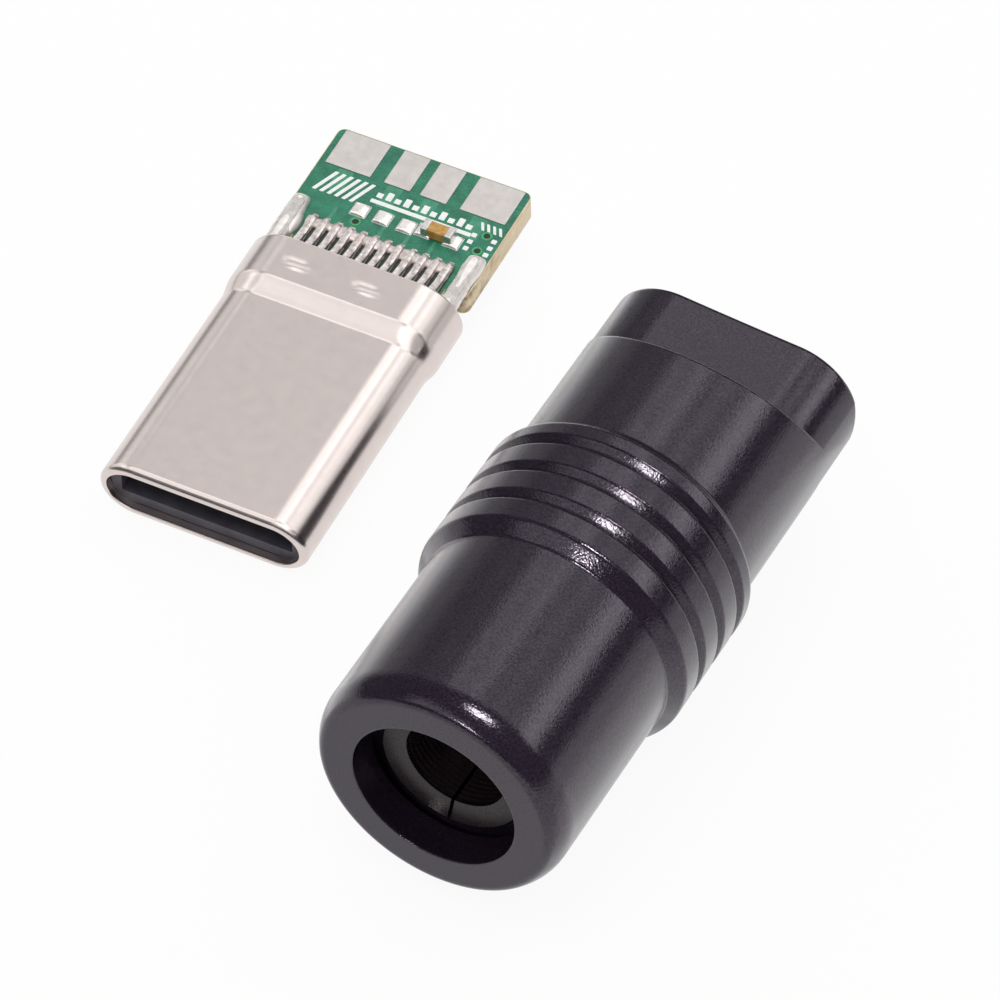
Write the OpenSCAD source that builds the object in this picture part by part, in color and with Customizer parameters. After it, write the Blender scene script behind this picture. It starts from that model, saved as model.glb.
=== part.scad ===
// Plug insert on a small circuit board, lying beside the turned housing it slides into.
// Millimetres. +Z is up, +Y runs from the cable end of the housing to its plug end.
// The plug insert is drawn in its own frame: y runs back from the mouth, z from the middle plane.
// The housing is drawn in its own frame: y runs from its cable end along the axis.

/* [Plug shell] */
// width of the narrow front of the shell
shell_w = 8.25; // [8.15:0.05:8.35]
// height of the narrow front of the shell
shell_h = 2.4; // [2.35:0.05:2.45]
// thickness of the drawn sheet
shell_wall = 0.32; // [0.28:0.01:0.34]
// length of the straight front, from the mouth to the step
shell_front = 9.25; // [8.8:0.05:10]
// length of the S-shaped step
step_len = 0.9; // [0.7:0.05:1.1]
// width of the rear section
rear_w = 8.5; // [8.45:0.05:8.7]
// height of the rear section
rear_h = 3.05; // [2.95:0.05:3.2]
// length of the rear section
rear_len = 1.9; // [1.6:0.05:2.2]
// radius of the rounded mouth lip
lip_r = 0.25; // [0.2:0.01:0.27]

/* [Liner and tongue cavity] */
// how far the liner sits behind the mouth
liner_recess = 0.35; // [0.3:0.05:0.45]
// rear end of the liner
liner_end = 5.4; // [5.2:0.05:5.6]
// width of the tongue cavity
cavity_w = 6.75; // [6.7:0.01:6.78]
// height of the tongue cavity
cavity_h = 0.84; // [0.8:0.01:0.88]
// gap between inserted pieces and the walls around them
seat_gap = 0.02; // [0.01:0.005:0.03]

/* [Contacts] */
// distance between neighbouring contacts
contact_pitch = 0.5; // [0.48:0.01:0.5]
// width of a contact strip
contact_w = 0.25; // [0.2:0.01:0.28]
// thickness of a contact strip
contact_t = 0.15; // [0.12:0.01:0.16]
// height of the contact surface above the middle plane
contact_z = 0.34; // [0.32:0.01:0.38]
// height of the arch of a tail behind the carrier
arch_z = 0.8; // [0.75:0.01:0.85]
// distance from the mouth to the end of the tails
tail_end = 13.9; // [13.6:0.05:14.1]

/* [Latch plate] */
// thickness of the blanked plate
latch_t = 0.3; // [0.25:0.01:0.3]
// width of a latch arm
arm_w = 0.24; // [0.2:0.01:0.26]
// reach of a latch nose into the cavity
nose_reach = 0.33; // [0.25:0.01:0.4]
// inner edge of a ground foot, from the middle
foot_x = 3.3; // [3.25:0.01:3.32]
// width of a ground foot on the board
foot_w = 0.48; // [0.4:0.02:0.5]
// distance from the mouth to the end of the ground feet
foot_end = 14.6; // [14.2:0.05:14.7]

/* [Circuit board] */
// width of the board
board_w = 7.85; // [7.8:0.05:8.1]
// thickness of the board
board_t = 1.0; // [0.94:0.02:1.02]
// front of the wide part of the board
board_front = 12.95; // [12.8:0.05:13]
// rear edge of the board
board_end = 18.47; // [18:0.05:19]
// front of the narrow tongue between the contact rows
tongue_front = 10.6; // [10.5:0.05:10.8]
// width of the narrow tongue between the contact rows
tongue_w = 6.2; // [6.1:0.05:6.22]
// radius of the board's corners
board_corner = 0.3; // [0.2:0.05:0.5]
// thickness of the pads on the board
pad_t = 0.04; // [0.03:0.01:0.05]
// front of the pads under the contact tails
tail_pad_front = 12.6; // [12.4:0.05:12.8]
// length of the wire pads at the rear edge
wire_pad_len = 1.75; // [1.6:0.05:1.8]
// side of the small square pads
part_pad = 0.66; // [0.56:0.02:0.72]

/* [Chip capacitor] */
// length of the capacitor over its caps
cap_len = 1.24; // [1.1:0.02:1.3]
// width of the capacitor
cap_w = 0.56; // [0.5:0.01:0.62]
// height of the capacitor
cap_h = 0.42; // [0.36:0.01:0.5]
// length of one end cap
cap_end = 0.28; // [0.24:0.01:0.32]

/* [Housing] */
// diameter of the barrel
barrel_d = 9.4; // [9.3:0.05:9.6]
// length of the housing
housing_len = 22.04; // [21.5:0.02:22.4]
// radius of the large rounding at the cable end
edge_r = 1.45; // [1.35:0.05:1.5]
// length of the rounding along the axis
edge_len = 1.08; // [1:0.02:1.12]
// radius of the small rounding at the end face
corner_r = 0.3; // [0.25:0.05:0.35]
// turn of the housing about its axis as it lies
housing_roll = 3.2; // [0:0.1:5]

/* [Grip band] */
// diameter of the grip band
band_d = 10.3; // [10.1:0.05:10.5]
// start of the chamfer that climbs to the band
band_start = 7.8; // [7.5:0.05:8]
// length of that chamfer
band_rise = 0.5; // [0.4:0.05:0.6]
// end of the band's last land
band_end = 13.09; // [13:0.05:13.4]
// length of the chamfer that falls back to the barrel
band_fall = 0.43; // [0.35:0.02:0.5]
// middle of the first groove
groove_first = 9.47; // [9.4:0.01:9.6]
// distance between neighbouring grooves
groove_pitch = 1.4; // [1.3:0.01:1.42]
// number of grooves
groove_count = 3; // [2:1:3]
// width of a groove at the band surface
groove_w = 0.5; // [0.4:0.02:0.56]
// depth of a groove
groove_depth = 0.25; // [0.18:0.01:0.28]

/* [Flats at the plug end] */
// distance across the flats
flat_across = 5.04; // [4.8:0.02:5.3]
// radius of the blend from a flat to the barrel
flat_blend_r = 2.4; // [2:0.05:2.6]
// where the sloping shoulder leaves the barrel surface
shoulder_start = 17.78; // [17.5:0.02:18]
// slope of the shoulder, along the axis per millimetre of depth
shoulder_slope = 0.445; // [0.35:0.005:0.5]

/* [Holes of the housing] */
// diameter of the cable hole
cable_d = 6.1; // [5.9:0.05:6.2]
// diameter of the relief groove behind the cable hole
relief_d = 6.6; // [6.5:0.05:6.8]
// distance from the cable end to the end of the relief groove
relief_end = 2.2; // [2:0.05:2.4]
// diameter of the seat of the clamp ring
seat_d = 5.6; // [5.55:0.05:5.65]
// distance from the cable end to the shoulder behind the ring
seat_depth = 4.6; // [4.4:0.05:5]
// diameter of the bore between the cable hole and the pocket
wire_d = 5.2; // [5:0.05:5.4]
// clearance of the plug's rear section in the pocket, each side
pocket_fit = 0.05; // [0.03:0.01:0.08]
// depth of the pocket from the plug end
pocket_depth = 10.6; // [10:0.1:11]

/* [Cable clamp ring] */
// clearance of the ring in its seat, each side
ring_fit = 0.05; // [0.03:0.01:0.08]
// distance of the ring's face from the cable end
ring_front = 1.34; // [1.2:0.02:1.5]
// radius of the ring's front edge
ring_face_r = 2.63; // [2.55:0.01:2.65]
// how far the ring's face falls towards its hole
ring_dish = 0.22; // [0.15:0.01:0.25]
// radius over the tips of the teeth inside the ring
ring_tip_r = 1.87; // [1.8:0.01:1.95]
// distance between neighbouring teeth
tooth_pitch = 0.38; // [0.36:0.01:0.38]
// depth of the teeth
tooth_depth = 0.2; // [0.15:0.01:0.24]
// width of the slit in the ring
slit_w = 0.2; // [0.15:0.01:0.3]

/* [How the two lie] */
// distance across from the plug's mouth to the housing's axis
lay_across = 14.74; // [13.5:0.02:18]
// distance along from the housing's cable end to the plug's mouth
lay_along = 9.99; // [9:0.01:11]
// turn of the plug on the table
plug_turn = 2.2; // [0:0.1:4]

/* [Hidden] */
$fn = 64;
far = 20;
eps = 0.02;
row_n = 12;
shell_len = shell_front + step_len + rear_len;
step_end = shell_front + step_len;
in_w = shell_w - 2 * shell_wall;
in_h = shell_h - 2 * shell_wall;
liner_w = in_w - 2 * seat_gap;
liner_h = in_h - 2 * seat_gap;
carrier_start = liner_end + 0.1;
carrier_end = shell_front + 1.15;
carrier_x = 3.3;
board_top = board_t / 2;
pad_top = board_top + pad_t;
strip_z = 0.575;
tail_z = pad_top + contact_t / 2;
foot_z = pad_top + latch_t / 2;
spring_t = 0.08;
spring_z = liner_h / 2 - 0.05;
spring_xs = [-2.1, -0.7, 0.7, 2.1];
barrel_r = barrel_d / 2;
band_r = band_d / 2;
flat_z = flat_across / 2;
// the blend's circle just passes the barrel's, so that the two cross at a small angle
blend_pass = 0.05;
flat_blend_x = blend_pass
    + sqrt(pow(barrel_r, 2) - pow(flat_z, 2) - 2 * flat_blend_r * (barrel_r - flat_z));
pocket_w = rear_w + 2 * pocket_fit;
pocket_h = rear_h + 2 * pocket_fit;
cable_depth = ring_front - 0.04;
ring_r = seat_d / 2 - ring_fit;
part_y = 15.05;
cap_x = 1.72;
cap_y = 15.15;
wire_pads_x = [[-3.65, -1.82], [-1.26, -0.2], [0.2, 1.26], [1.82, 3.65]];

// the plug rests on its mouth lip and on the front corner of its rear section
rise_a = rear_h / 2 - shell_h / 2 + lip_r;
rise_b = step_end - lip_r;
plug_tilt = acos(lip_r / norm([rise_a, rise_b])) - atan2(rise_b, rise_a);
plug_lift = rear_h / 2 * cos(plug_tilt) - step_end * sin(plug_tilt);

// both pieces are spread evenly about the middle of their common box
reach_shell = rear_w / 2 * cos(plug_turn) + shell_len * cos(plug_tilt) * sin(plug_turn);
reach_board = board_w / 2 * cos(plug_turn) + board_end * cos(plug_tilt) * sin(plug_turn);
reach_left = max(reach_shell, reach_board - 0.1);
corner_x = board_w / 2 - board_corner;
corner_y = board_end - board_corner;
reach_back = corner_x * sin(plug_turn) + corner_y * cos(plug_tilt) * cos(plug_turn)
    + board_corner * norm([sin(plug_turn), cos(plug_tilt) * cos(plug_turn)])
    + board_t / 2 * sin(plug_tilt) * cos(plug_turn);
box_w = reach_left + lay_across + band_r;
box_l = lay_along + reach_back;
plug_x = reach_left - box_w / 2;
plug_y = lay_along - box_l / 2;
housing_x = box_w / 2 - band_r;
housing_y = -box_l / 2;

steel = [0.78, 0.76, 0.72];
bright = [0.72, 0.73, 0.74];
dark = [0.09, 0.09, 0.1];
gold = [0.83, 0.68, 0.34];
mask = [0.06, 0.3, 0.14];
tin = [0.8, 0.8, 0.8];
clay = [0.55, 0.4, 0.28];
black = [0.2, 0.19, 0.21];

// puts a piece of the plug where the plug lies
module place_plug() {
    translate([plug_x, plug_y, plug_lift])
        rotate([0, 0, plug_turn])
            rotate([plug_tilt, 0, 0])
                children();
}

// puts a piece of the housing where the housing lies
module place_housing() {
    translate([housing_x, housing_y, band_r])
        rotate([0, housing_roll, 0])
            children();
}

// box from its low corner to its high corner
module block(low, high) {
    translate(low)
        cube([high[0] - low[0], high[1] - low[1], high[2] - low[2]]);
}

// outline with straight top and bottom and round ends
module obround(w, h) {
    square([w - h, h], center = true);
    translate([(w - h) / 2, 0])
        circle(d = h);
    translate([-(w - h) / 2, 0])
        circle(d = h);
}

// obround bar along y
module obround_bar(w, h, y0, y1) {
    translate([0, y1, 0])
        rotate([90, 0, 0])
            linear_extrude(y1 - y0)
                obround(w, h);
}

// flat outline in (y, z), drawn out along x
module side_cut(x0, x1, points) {
    translate([x0, 0, 0])
        rotate([90, 0, 90])
            linear_extrude(x1 - x0)
                polygon(points);
}

// strip of one thickness along a path in (y, z)
module strip(x0, x1, t, path) {
    n = len(path);
    top = [for (p = path) [p[0], p[1] + t / 2]];
    low = [for (i = [n - 1:-1:0]) [path[i][0], path[i][1] - t / 2]];
    side_cut(x0, x1, concat(top, low));
}

// wall of the shell's front in (distance from the middle line, y), lip at the mouth
module lip_profile() {
    out = shell_h / 2;
    in = out - shell_wall;
    nose = shell_wall - lip_r;
    translate([in, lip_r])
        square([shell_wall, shell_front - lip_r]);
    translate([in, 0])
        square([nose, lip_r + eps]);
    intersection() {
        translate([in + nose, lip_r])
            circle(r = lip_r);
        translate([in + nose - eps, 0])
            square([lip_r + eps, lip_r + eps]);
    }
}

// straight front of the shell with its rounded lip
module shell_front_part() {
    c = (shell_w - shell_h) / 2;
    for (s = [-1, 1])
        translate([s * c, 0, 0])
            rotate([-90, 0, 0])
                rotate([0, 0, -90 * s])
                    rotate_extrude(angle = 180)
                        lip_profile();
    for (m = [0, 1])
        mirror([0, 0, m])
            translate([-c, 0, 0])
                rotate([90, 0, 90])
                    linear_extrude(2 * c)
                        mirror([1, -1])
                            lip_profile();
}

// how far the S-shaped step has grown at part t of its length
function grown(t) = t * t * (3 - 2 * t);

// solid between two obround outlines of the step
module step_slice(t0, t1, inset) {
    thin = 0.004;
    $fn = 48;
    hull() {
        for (t = [t0, t1]) {
            g = grown(t);
            w = shell_w + (rear_w - shell_w) * g - 2 * inset;
            h = shell_h + (rear_h - shell_h) * g - 2 * inset;
            y = shell_front - eps + (step_len + 2 * eps - thin) * t;
            obround_bar(w, h, y, y + thin);
        }
    }
}

// S-shaped step, its skins just inside those of the straight sections
module shell_step_part() {
    ts = [0, 0.3, 0.7, 1];
    skin = 0.008;
    difference() {
        for (i = [0:2])
            step_slice(ts[i], ts[i + 1], skin);
        for (i = [0:2])
            step_slice(ts[i] - (i == 0 ? 0.02 : 0), ts[i + 1] + (i == 2 ? 0.02 : 0), shell_wall - skin);
    }
}

module plug_shell() {
    color(steel)
        place_plug() {
            shell_front_part();
            shell_step_part();
            difference() {
                obround_bar(rear_w, rear_h, step_end, shell_len);
                obround_bar(rear_w - 2 * shell_wall, rear_h - 2 * shell_wall, step_end - 1, shell_len + 1);
            }
        }
}

// place of contact i across the plug
function contact_x(i) = (i - (row_n - 1) / 2) * contact_pitch;

// slots, windows and recess of one side of the liner
module liner_cuts() {
    slot = contact_w / 2 + 0.035;
    for (i = [0:row_n - 1])
        block([contact_x(i) - slot, 2.35, cavity_h / 2 - eps], [contact_x(i) + slot, far, far]);
    block([-2.7, 0.6, spring_z - spring_t / 2 - seat_gap / 2], [2.7, 2.25, far]);
    for (x = spring_xs)
        block([x - 0.4, 0.95, 0], [x + 0.4, 2.0, far]);
}

module front_insulator() {
    color(dark)
        place_plug()
            difference() {
                obround_bar(liner_w, liner_h, liner_recess, liner_end);
                block([-cavity_w / 2, -far, -cavity_h / 2], [cavity_w / 2, far, cavity_h / 2]);
                block([-far, 1.2, -latch_t / 2 - 0.05], [far, far, latch_t / 2 + 0.05]);
                liner_cuts();
                mirror([0, 0, 1])
                    liner_cuts();
            }
}

// block that holds one row of contacts, with a channel for each
module carrier_block() {
    g = 0.01;
    difference() {
        intersection() {
            block([-carrier_x, carrier_start, latch_t / 2 + g], [carrier_x, carrier_end, in_h]);
            obround_bar(liner_w, liner_h, carrier_start - 1, carrier_end + 1);
        }
        for (i = [0:row_n - 1])
            block([contact_x(i) - contact_w / 2 - g, -far, strip_z - contact_t / 2 - g],
                [contact_x(i) + contact_w / 2 + g, far, strip_z + contact_t / 2 + g]);
    }
}

module upper_contact_carrier() {
    color(dark)
        place_plug()
            carrier_block();
}

module lower_contact_carrier() {
    color(dark)
        place_plug()
            mirror([0, 0, 1])
                carrier_block();
}

// one spring contact of the upper row, from its tip to the end of its tail
module contact_strip(i) {
    bump = contact_z + contact_t / 2;
    strip(contact_x(i) - contact_w / 2, contact_x(i) + contact_w / 2, contact_t,
        [[2.55, bump + 0.14], [3.1, bump + 0.02], [3.3, bump], [3.5, bump + 0.02], [4.6, strip_z],
            [carrier_end, strip_z], [11.3, arch_z - 0.03], [11.6, arch_z], [12.2, arch_z],
            [12.45, arch_z - 0.04], [12.95, tail_z + 0.02], [13.15, tail_z], [tail_end, tail_z]]);
}

module upper_contact(i) {
    color(gold)
        place_plug()
            contact_strip(i);
}

module lower_contact(i) {
    color(gold)
        place_plug()
            mirror([0, 0, 1])
                contact_strip(i);
}

module contact_a01() upper_contact(0);
module contact_a02() upper_contact(1);
module contact_a03() upper_contact(2);
module contact_a04() upper_contact(3);
module contact_a05() upper_contact(4);
module contact_a06() upper_contact(5);
module contact_a07() upper_contact(6);
module contact_a08() upper_contact(7);
module contact_a09() upper_contact(8);
module contact_a10() upper_contact(9);
module contact_a11() upper_contact(10);
module contact_a12() upper_contact(11);
module contact_b01() lower_contact(0);
module contact_b02() lower_contact(1);
module contact_b03() lower_contact(2);
module contact_b04() lower_contact(3);
module contact_b05() lower_contact(4);
module contact_b06() lower_contact(5);
module contact_b07() lower_contact(6);
module contact_b08() lower_contact(7);
module contact_b09() lower_contact(8);
module contact_b10() lower_contact(9);
module contact_b11() lower_contact(10);
module contact_b12() lower_contact(11);

// right half of the latch plate in plan
module latch_outline() {
    out = 3.62;
    in = out - arm_w;
    polygon([[0, 5.65], [in - 0.2, 5.65], [in, 5.45], [in, 2.75], [in - nose_reach, 2.45],
        [in - nose_reach, 2.1], [in, 1.5], [out, 1.5], [out, 6.9], [3.2, 7.3], [3.2, 9.3],
        [3.54, 9.6], [3.54, 10.3], [3.16, 10.3], [3.0, 10.1], [0, 10.1]]);
}

// right ground leg, from the plate up to its foot on the board
module ground_leg() {
    strip(3.16, 3.54, latch_t, [[10.25, 0], [10.5, 0], [11.7, foot_z - 0.03], [11.9, foot_z], [12.4, foot_z]]);
    translate([0, 0, foot_z - latch_t / 2])
        linear_extrude(latch_t) {
            translate([foot_x, shell_len + 0.1])
                square([foot_w, foot_end - foot_w / 2 - shell_len - 0.1]);
            translate([foot_x + foot_w / 2, foot_end - foot_w / 2])
                circle(d = foot_w);
        }
}

module latch_plate() {
    color(bright)
        place_plug() {
            translate([0, 0, -latch_t / 2])
                linear_extrude(latch_t) {
                    latch_outline();
                    mirror([1, 0])
                        latch_outline();
                }
            ground_leg();
            mirror([1, 0, 0])
                ground_leg();
        }
}

// thin sheet frame with four fingers that reach into the cavity
module ground_spring() {
    low = spring_z - spring_t / 2;
    high = spring_z + spring_t / 2;
    block([-2.65, 0.65, low], [2.65, 0.88, high]);
    block([-2.65, 2.02, low], [2.65, 2.2, high]);
    for (s = [-1, 1])
        block([s * 2.575 - 0.075, 0.65, low], [s * 2.575 + 0.075, 2.2, high]);
    for (x = spring_xs)
        strip(x - 0.35, x + 0.35, spring_t, [[2.1, spring_z], [1.95, spring_z], [1.5, 0.45], [1.4, 0.44],
            [1.3, 0.45], [1.05, 0.58]]);
}

module upper_ground_spring() {
    color(bright)
        place_plug()
            ground_spring();
}

module lower_ground_spring() {
    color(bright)
        place_plug()
            mirror([0, 0, 1])
                ground_spring();
}

module circuit_board() {
    color(mask)
        place_plug()
            translate([0, 0, -board_top])
                linear_extrude(board_t) {
                    translate([-board_w / 2, board_front + board_corner])
                        square([board_w, corner_y - board_front - board_corner]);
                    translate([-board_w / 2 + board_corner, board_front])
                        square([board_w - 2 * board_corner, board_end - board_front]);
                    for (s = [-1, 1])
                        for (y = [board_front + board_corner, corner_y])
                            translate([s * corner_x, y])
                                circle(r = board_corner);
                    translate([-tongue_w / 2, tongue_front])
                        square([tongue_w, board_front - tongue_front + 0.5]);
                }
}

module wire_pads() {
    color(tin)
        place_plug()
            for (x = wire_pads_x)
                block([x[0], board_end - 0.07 - wire_pad_len, board_top], [x[1], board_end - 0.07, pad_top]);
}

// pads under one row of tails
module tail_pad_row() {
    for (i = [0:row_n - 1])
        block([contact_x(i) - 0.15, tail_pad_front, board_top], [contact_x(i) + 0.15, tail_end + 0.25, pad_top]);
}

module tail_pads() {
    color(tin)
        place_plug() {
            tail_pad_row();
            mirror([0, 0, 1])
                tail_pad_row();
            for (s = [-1, 1])
                block([s * (foot_x + foot_w / 2) - foot_w / 2 - 0.05, board_front + 0.05, board_top],
                    [s * (foot_x + foot_w / 2) + foot_w / 2 + 0.05, foot_end + 0.1, pad_top]);
        }
}

module part_pads() {
    half = part_pad / 2;
    color(tin)
        place_plug() {
            for (x = [-1.4, -0.47, 0.48])
                block([x - half, part_y - half, board_top], [x + half, part_y + half, pad_top]);
            for (s = [-1, 1])
                block([cap_x + s * 0.55 - half + 0.05, cap_y - half, board_top],
                    [cap_x + s * 0.55 + half - 0.05, cap_y + half, pad_top]);
        }
}

module capacitor_body() {
    color(clay)
        place_plug()
            block([cap_x - cap_len / 2 + cap_end, cap_y - cap_w / 2 + 0.01, pad_top + 0.01],
                [cap_x + cap_len / 2 - cap_end, cap_y + cap_w / 2 - 0.01, pad_top + cap_h - 0.01]);
}

module capacitor_caps() {
    color(tin)
        place_plug()
            for (s = [-1, 1])
                block([cap_x + s * (cap_len - cap_end) / 2 - cap_end / 2, cap_y - cap_w / 2, pad_top],
                    [cap_x + s * (cap_len - cap_end) / 2 + cap_end / 2, cap_y + cap_w / 2, pad_top + cap_h]);
}

// turned solid of the housing in (radius, y), without its holes
module turned_profile() {
    small_r = barrel_r - edge_r + sqrt(pow(edge_r - corner_r, 2) - pow(edge_len - corner_r, 2));
    big_c = [barrel_r - edge_r, edge_len];
    small_c = [small_r, corner_r];
    away = (small_c - big_c) / norm(small_c - big_c);
    meet = big_c + away * edge_r;
    grooves = [for (i = [0:groove_count - 1]) for (k = [-1, 0, 1])
        [band_r - (k == 0 ? groove_depth : 0), groove_first + i * groove_pitch + k * groove_w / 2]];
    polygon(concat(
        [[0, 0], [small_r, 0], small_c, meet, big_c, [barrel_r, edge_len], [barrel_r, band_start],
            [band_r, band_start + band_rise]],
        grooves,
        [[band_r, band_end], [barrel_r, band_end + band_fall], [barrel_r, housing_len], [0, housing_len]]));
    intersection() {
        translate(big_c)
            circle(r = edge_r);
        polygon([big_c, big_c + [0, 0.001], big_c + [2 * edge_r, 0.001], big_c + [2 * edge_r, -2 * edge_r],
            big_c + away * 2 * edge_r]);
    }
    intersection() {
        translate(small_c)
            circle(r = corner_r);
        polygon([small_c, small_c + away * 0.0001, small_c + away * 2 * corner_r,
            small_c + [2 * corner_r, -2 * corner_r], small_c + [0, -2 * corner_r]]);
    }
}

// what is cut away outside one flat, seen along the axis
module flat_outside() {
    centre_z = flat_z - flat_blend_r;
    difference() {
        translate([-barrel_d, centre_z + flat_blend_r / 5])
            square([2 * barrel_d, barrel_d]);
        translate([-flat_blend_x, 0])
            square([2 * flat_blend_x, flat_z]);
        for (s = [-1, 1])
            translate([s * flat_blend_x, centre_z])
                circle(r = flat_blend_r);
    }
}

// everything behind the sloping shoulders
module behind_shoulder() {
    top = barrel_r + 1;
    at_top = shoulder_start - shoulder_slope;
    at_middle = shoulder_start + shoulder_slope * barrel_r;
    side_cut(-8, 8, [[at_top, top], [at_middle, 0], [at_top, -top], [housing_len + 2, -top],
        [housing_len + 2, top]]);
}

module housing_barrel() {
    color(black)
        place_housing()
            difference() {
                rotate([-90, 0, 0])
                    rotate_extrude($fn = 128)
                        turned_profile();
                for (m = [0, 1])
                    mirror([0, 0, m])
                        intersection() {
                            translate([0, housing_len + 1, 0])
                                rotate([90, 0, 0])
                                    linear_extrude(6)
                                        flat_outside();
                            behind_shoulder();
                        }
                rotate([-90, 0, 0])
                    translate([0, 0, -1])
                        cylinder(d = cable_d, h = cable_depth + 1);
                rotate([-90, 0, 0])
                    translate([0, 0, cable_depth])
                        cylinder(d = relief_d, h = relief_end - cable_depth);
                rotate([-90, 0, 0])
                    cylinder(d = seat_d, h = seat_depth);
                rotate([-90, 0, 0])
                    cylinder(d = wire_d, h = housing_len - pocket_depth + 0.5);
                obround_bar(pocket_w, pocket_h, housing_len - pocket_depth, housing_len + 1);
            }
}

// section of the ring in (radius, y), teeth on its hole
module ring_profile() {
    start = ring_front + ring_dish + 0.12;
    count = floor((seat_depth - 0.1 - start) / tooth_pitch);
    teeth = [for (i = [count - 1:-1:0]) for (k = [3, 2, 1, 0])
        [ring_tip_r + (k == 2 || k == 1 ? tooth_depth : 0), start + (i + [0.1, 0.45, 0.55, 0.9][k]) * tooth_pitch]];
    polygon(concat(
        [[ring_tip_r, ring_front + ring_dish], [ring_face_r, ring_front],
            [ring_r, ring_front + ring_r - ring_face_r], [ring_r, seat_depth], [ring_tip_r, seat_depth]],
        teeth));
}

module cable_clamp_ring() {
    color(dark)
        place_housing()
            difference() {
                rotate([-90, 0, 0])
                    rotate_extrude($fn = 96)
                        ring_profile();
                block([-slit_w / 2, -1, -far], [slit_w / 2, seat_depth + 1, 0]);
            }
}

plug_shell();
front_insulator();
upper_contact_carrier();
lower_contact_carrier();
contact_a01();
contact_a02();
contact_a03();
contact_a04();
contact_a05();
contact_a06();
contact_a07();
contact_a08();
contact_a09();
contact_a10();
contact_a11();
contact_a12();
contact_b01();
contact_b02();
contact_b03();
contact_b04();
contact_b05();
contact_b06();
contact_b07();
contact_b08();
contact_b09();
contact_b10();
contact_b11();
contact_b12();
latch_plate();
upper_ground_spring();
lower_ground_spring();
circuit_board();
wire_pads();
tail_pads();
part_pads();
capacitor_body();
capacitor_caps();
housing_barrel();
cable_clamp_ring();
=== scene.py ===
"""Plug kit: a reversible cable plug soldered to its little board, beside the barrel housing that takes it.

The plug lies on its mouth lip and on the front corner of its rear section, and the housing lies beside
it on its grip band. Sizes are millimetres in each sub-assembly's own frame: the plug's has its mouth at
y 0 and its middle plane at z 0, the housing's has its cable end at y 0 and its axis on y. A Place turns
them into the row frame, in metres.
"""

import logging
import math
from dataclasses import dataclass, field
from enum import Enum
from typing import Any, Optional, Sequence

import bmesh
import bpy
import numpy as np
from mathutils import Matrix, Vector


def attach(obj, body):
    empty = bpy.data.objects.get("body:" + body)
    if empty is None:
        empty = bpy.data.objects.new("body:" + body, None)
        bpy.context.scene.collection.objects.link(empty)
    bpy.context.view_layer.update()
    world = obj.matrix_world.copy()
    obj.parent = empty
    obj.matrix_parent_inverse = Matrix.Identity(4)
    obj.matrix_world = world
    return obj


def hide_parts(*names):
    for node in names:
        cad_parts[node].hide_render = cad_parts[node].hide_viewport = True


Array = np.ndarray
Pair = tuple[float, float]
Point = tuple[float, float, float]
Tree = bpy.types.NodeTree
Socket = bpy.types.NodeSocket
MM = 0.001
# Corners sharper than this many degrees stay sharp, and points closer than this many metres are one.
SHARP_ANGLE = 38.0
MERGE_WITHIN = 2e-7
# Stands in for nothing where a number is divided by it.
NEAR_ZERO = 1e-9
# Points on a rounded edge, on a swelled top from rim to middle, and across a mound.
EDGE_POINTS, CROWN_POINTS, MOUND_POINTS = 4, 7, 13
# How far beside a bend a flat starts, and how far a mound reaches into its pad, in millimetres.
FLAT_FROM = 0.02
MOUND_SINK = 0.01
# A bell-shaped window ends this many of its widths from its middle.
WINDOW_REACH = 2.5
# Most of a noise's values lie in the middle of its range, so that part is carried onto all that it drives.
MIDDLE = {"From Min": 0.3, "From Max": 0.7}
# A colour mix's inputs by number, the share of the second colour and the two colours, and its output.
SHARE, FIRST, SECOND = 0, 6, 7
MIXED = 2
BODY = "root"
LOG = logging.getLogger("plug_kit")

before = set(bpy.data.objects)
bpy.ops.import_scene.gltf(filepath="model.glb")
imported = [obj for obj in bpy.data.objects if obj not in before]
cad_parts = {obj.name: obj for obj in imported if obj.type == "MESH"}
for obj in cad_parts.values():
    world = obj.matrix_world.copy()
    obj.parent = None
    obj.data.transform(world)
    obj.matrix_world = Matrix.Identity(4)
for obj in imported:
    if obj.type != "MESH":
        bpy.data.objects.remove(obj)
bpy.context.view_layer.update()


def linear(code: str) -> tuple[float, float, float, float]:
    """Turns an sRGB hex colour into linear red, green, blue and alpha.

    Args:
        code: the colour as #rrggbb.

    Returns:
        Linear values by the sRGB curve, alpha 1.
    """
    srgb = np.array([int(code[i : i + 2], 16) for i in (1, 3, 5)]) / 255.0
    flat = np.where(srgb <= 0.04045, srgb / 12.92, ((srgb + 0.055) / 1.055) ** 2.4)
    return (*flat.tolist(), 1.0)


def add(tree: Tree, kind: str, sockets: Optional[dict] = None, **settings: Any) -> bpy.types.Node:
    """Adds one node with its settings and links.

    Args:
        tree: the node tree it goes into.
        kind: the node's type name.
        sockets: input name or number, with a value or with the output that feeds it.
        settings: the node's own options.

    Returns:
        The new node.
    """
    node = tree.nodes.new(kind)
    for key, value in settings.items():
        setattr(node, key, value)
    for key, value in (sockets or {}).items():
        if isinstance(value, Socket):
            tree.links.new(value, node.inputs[key])
        else:
            node.inputs[key].default_value = value
    return node


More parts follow.
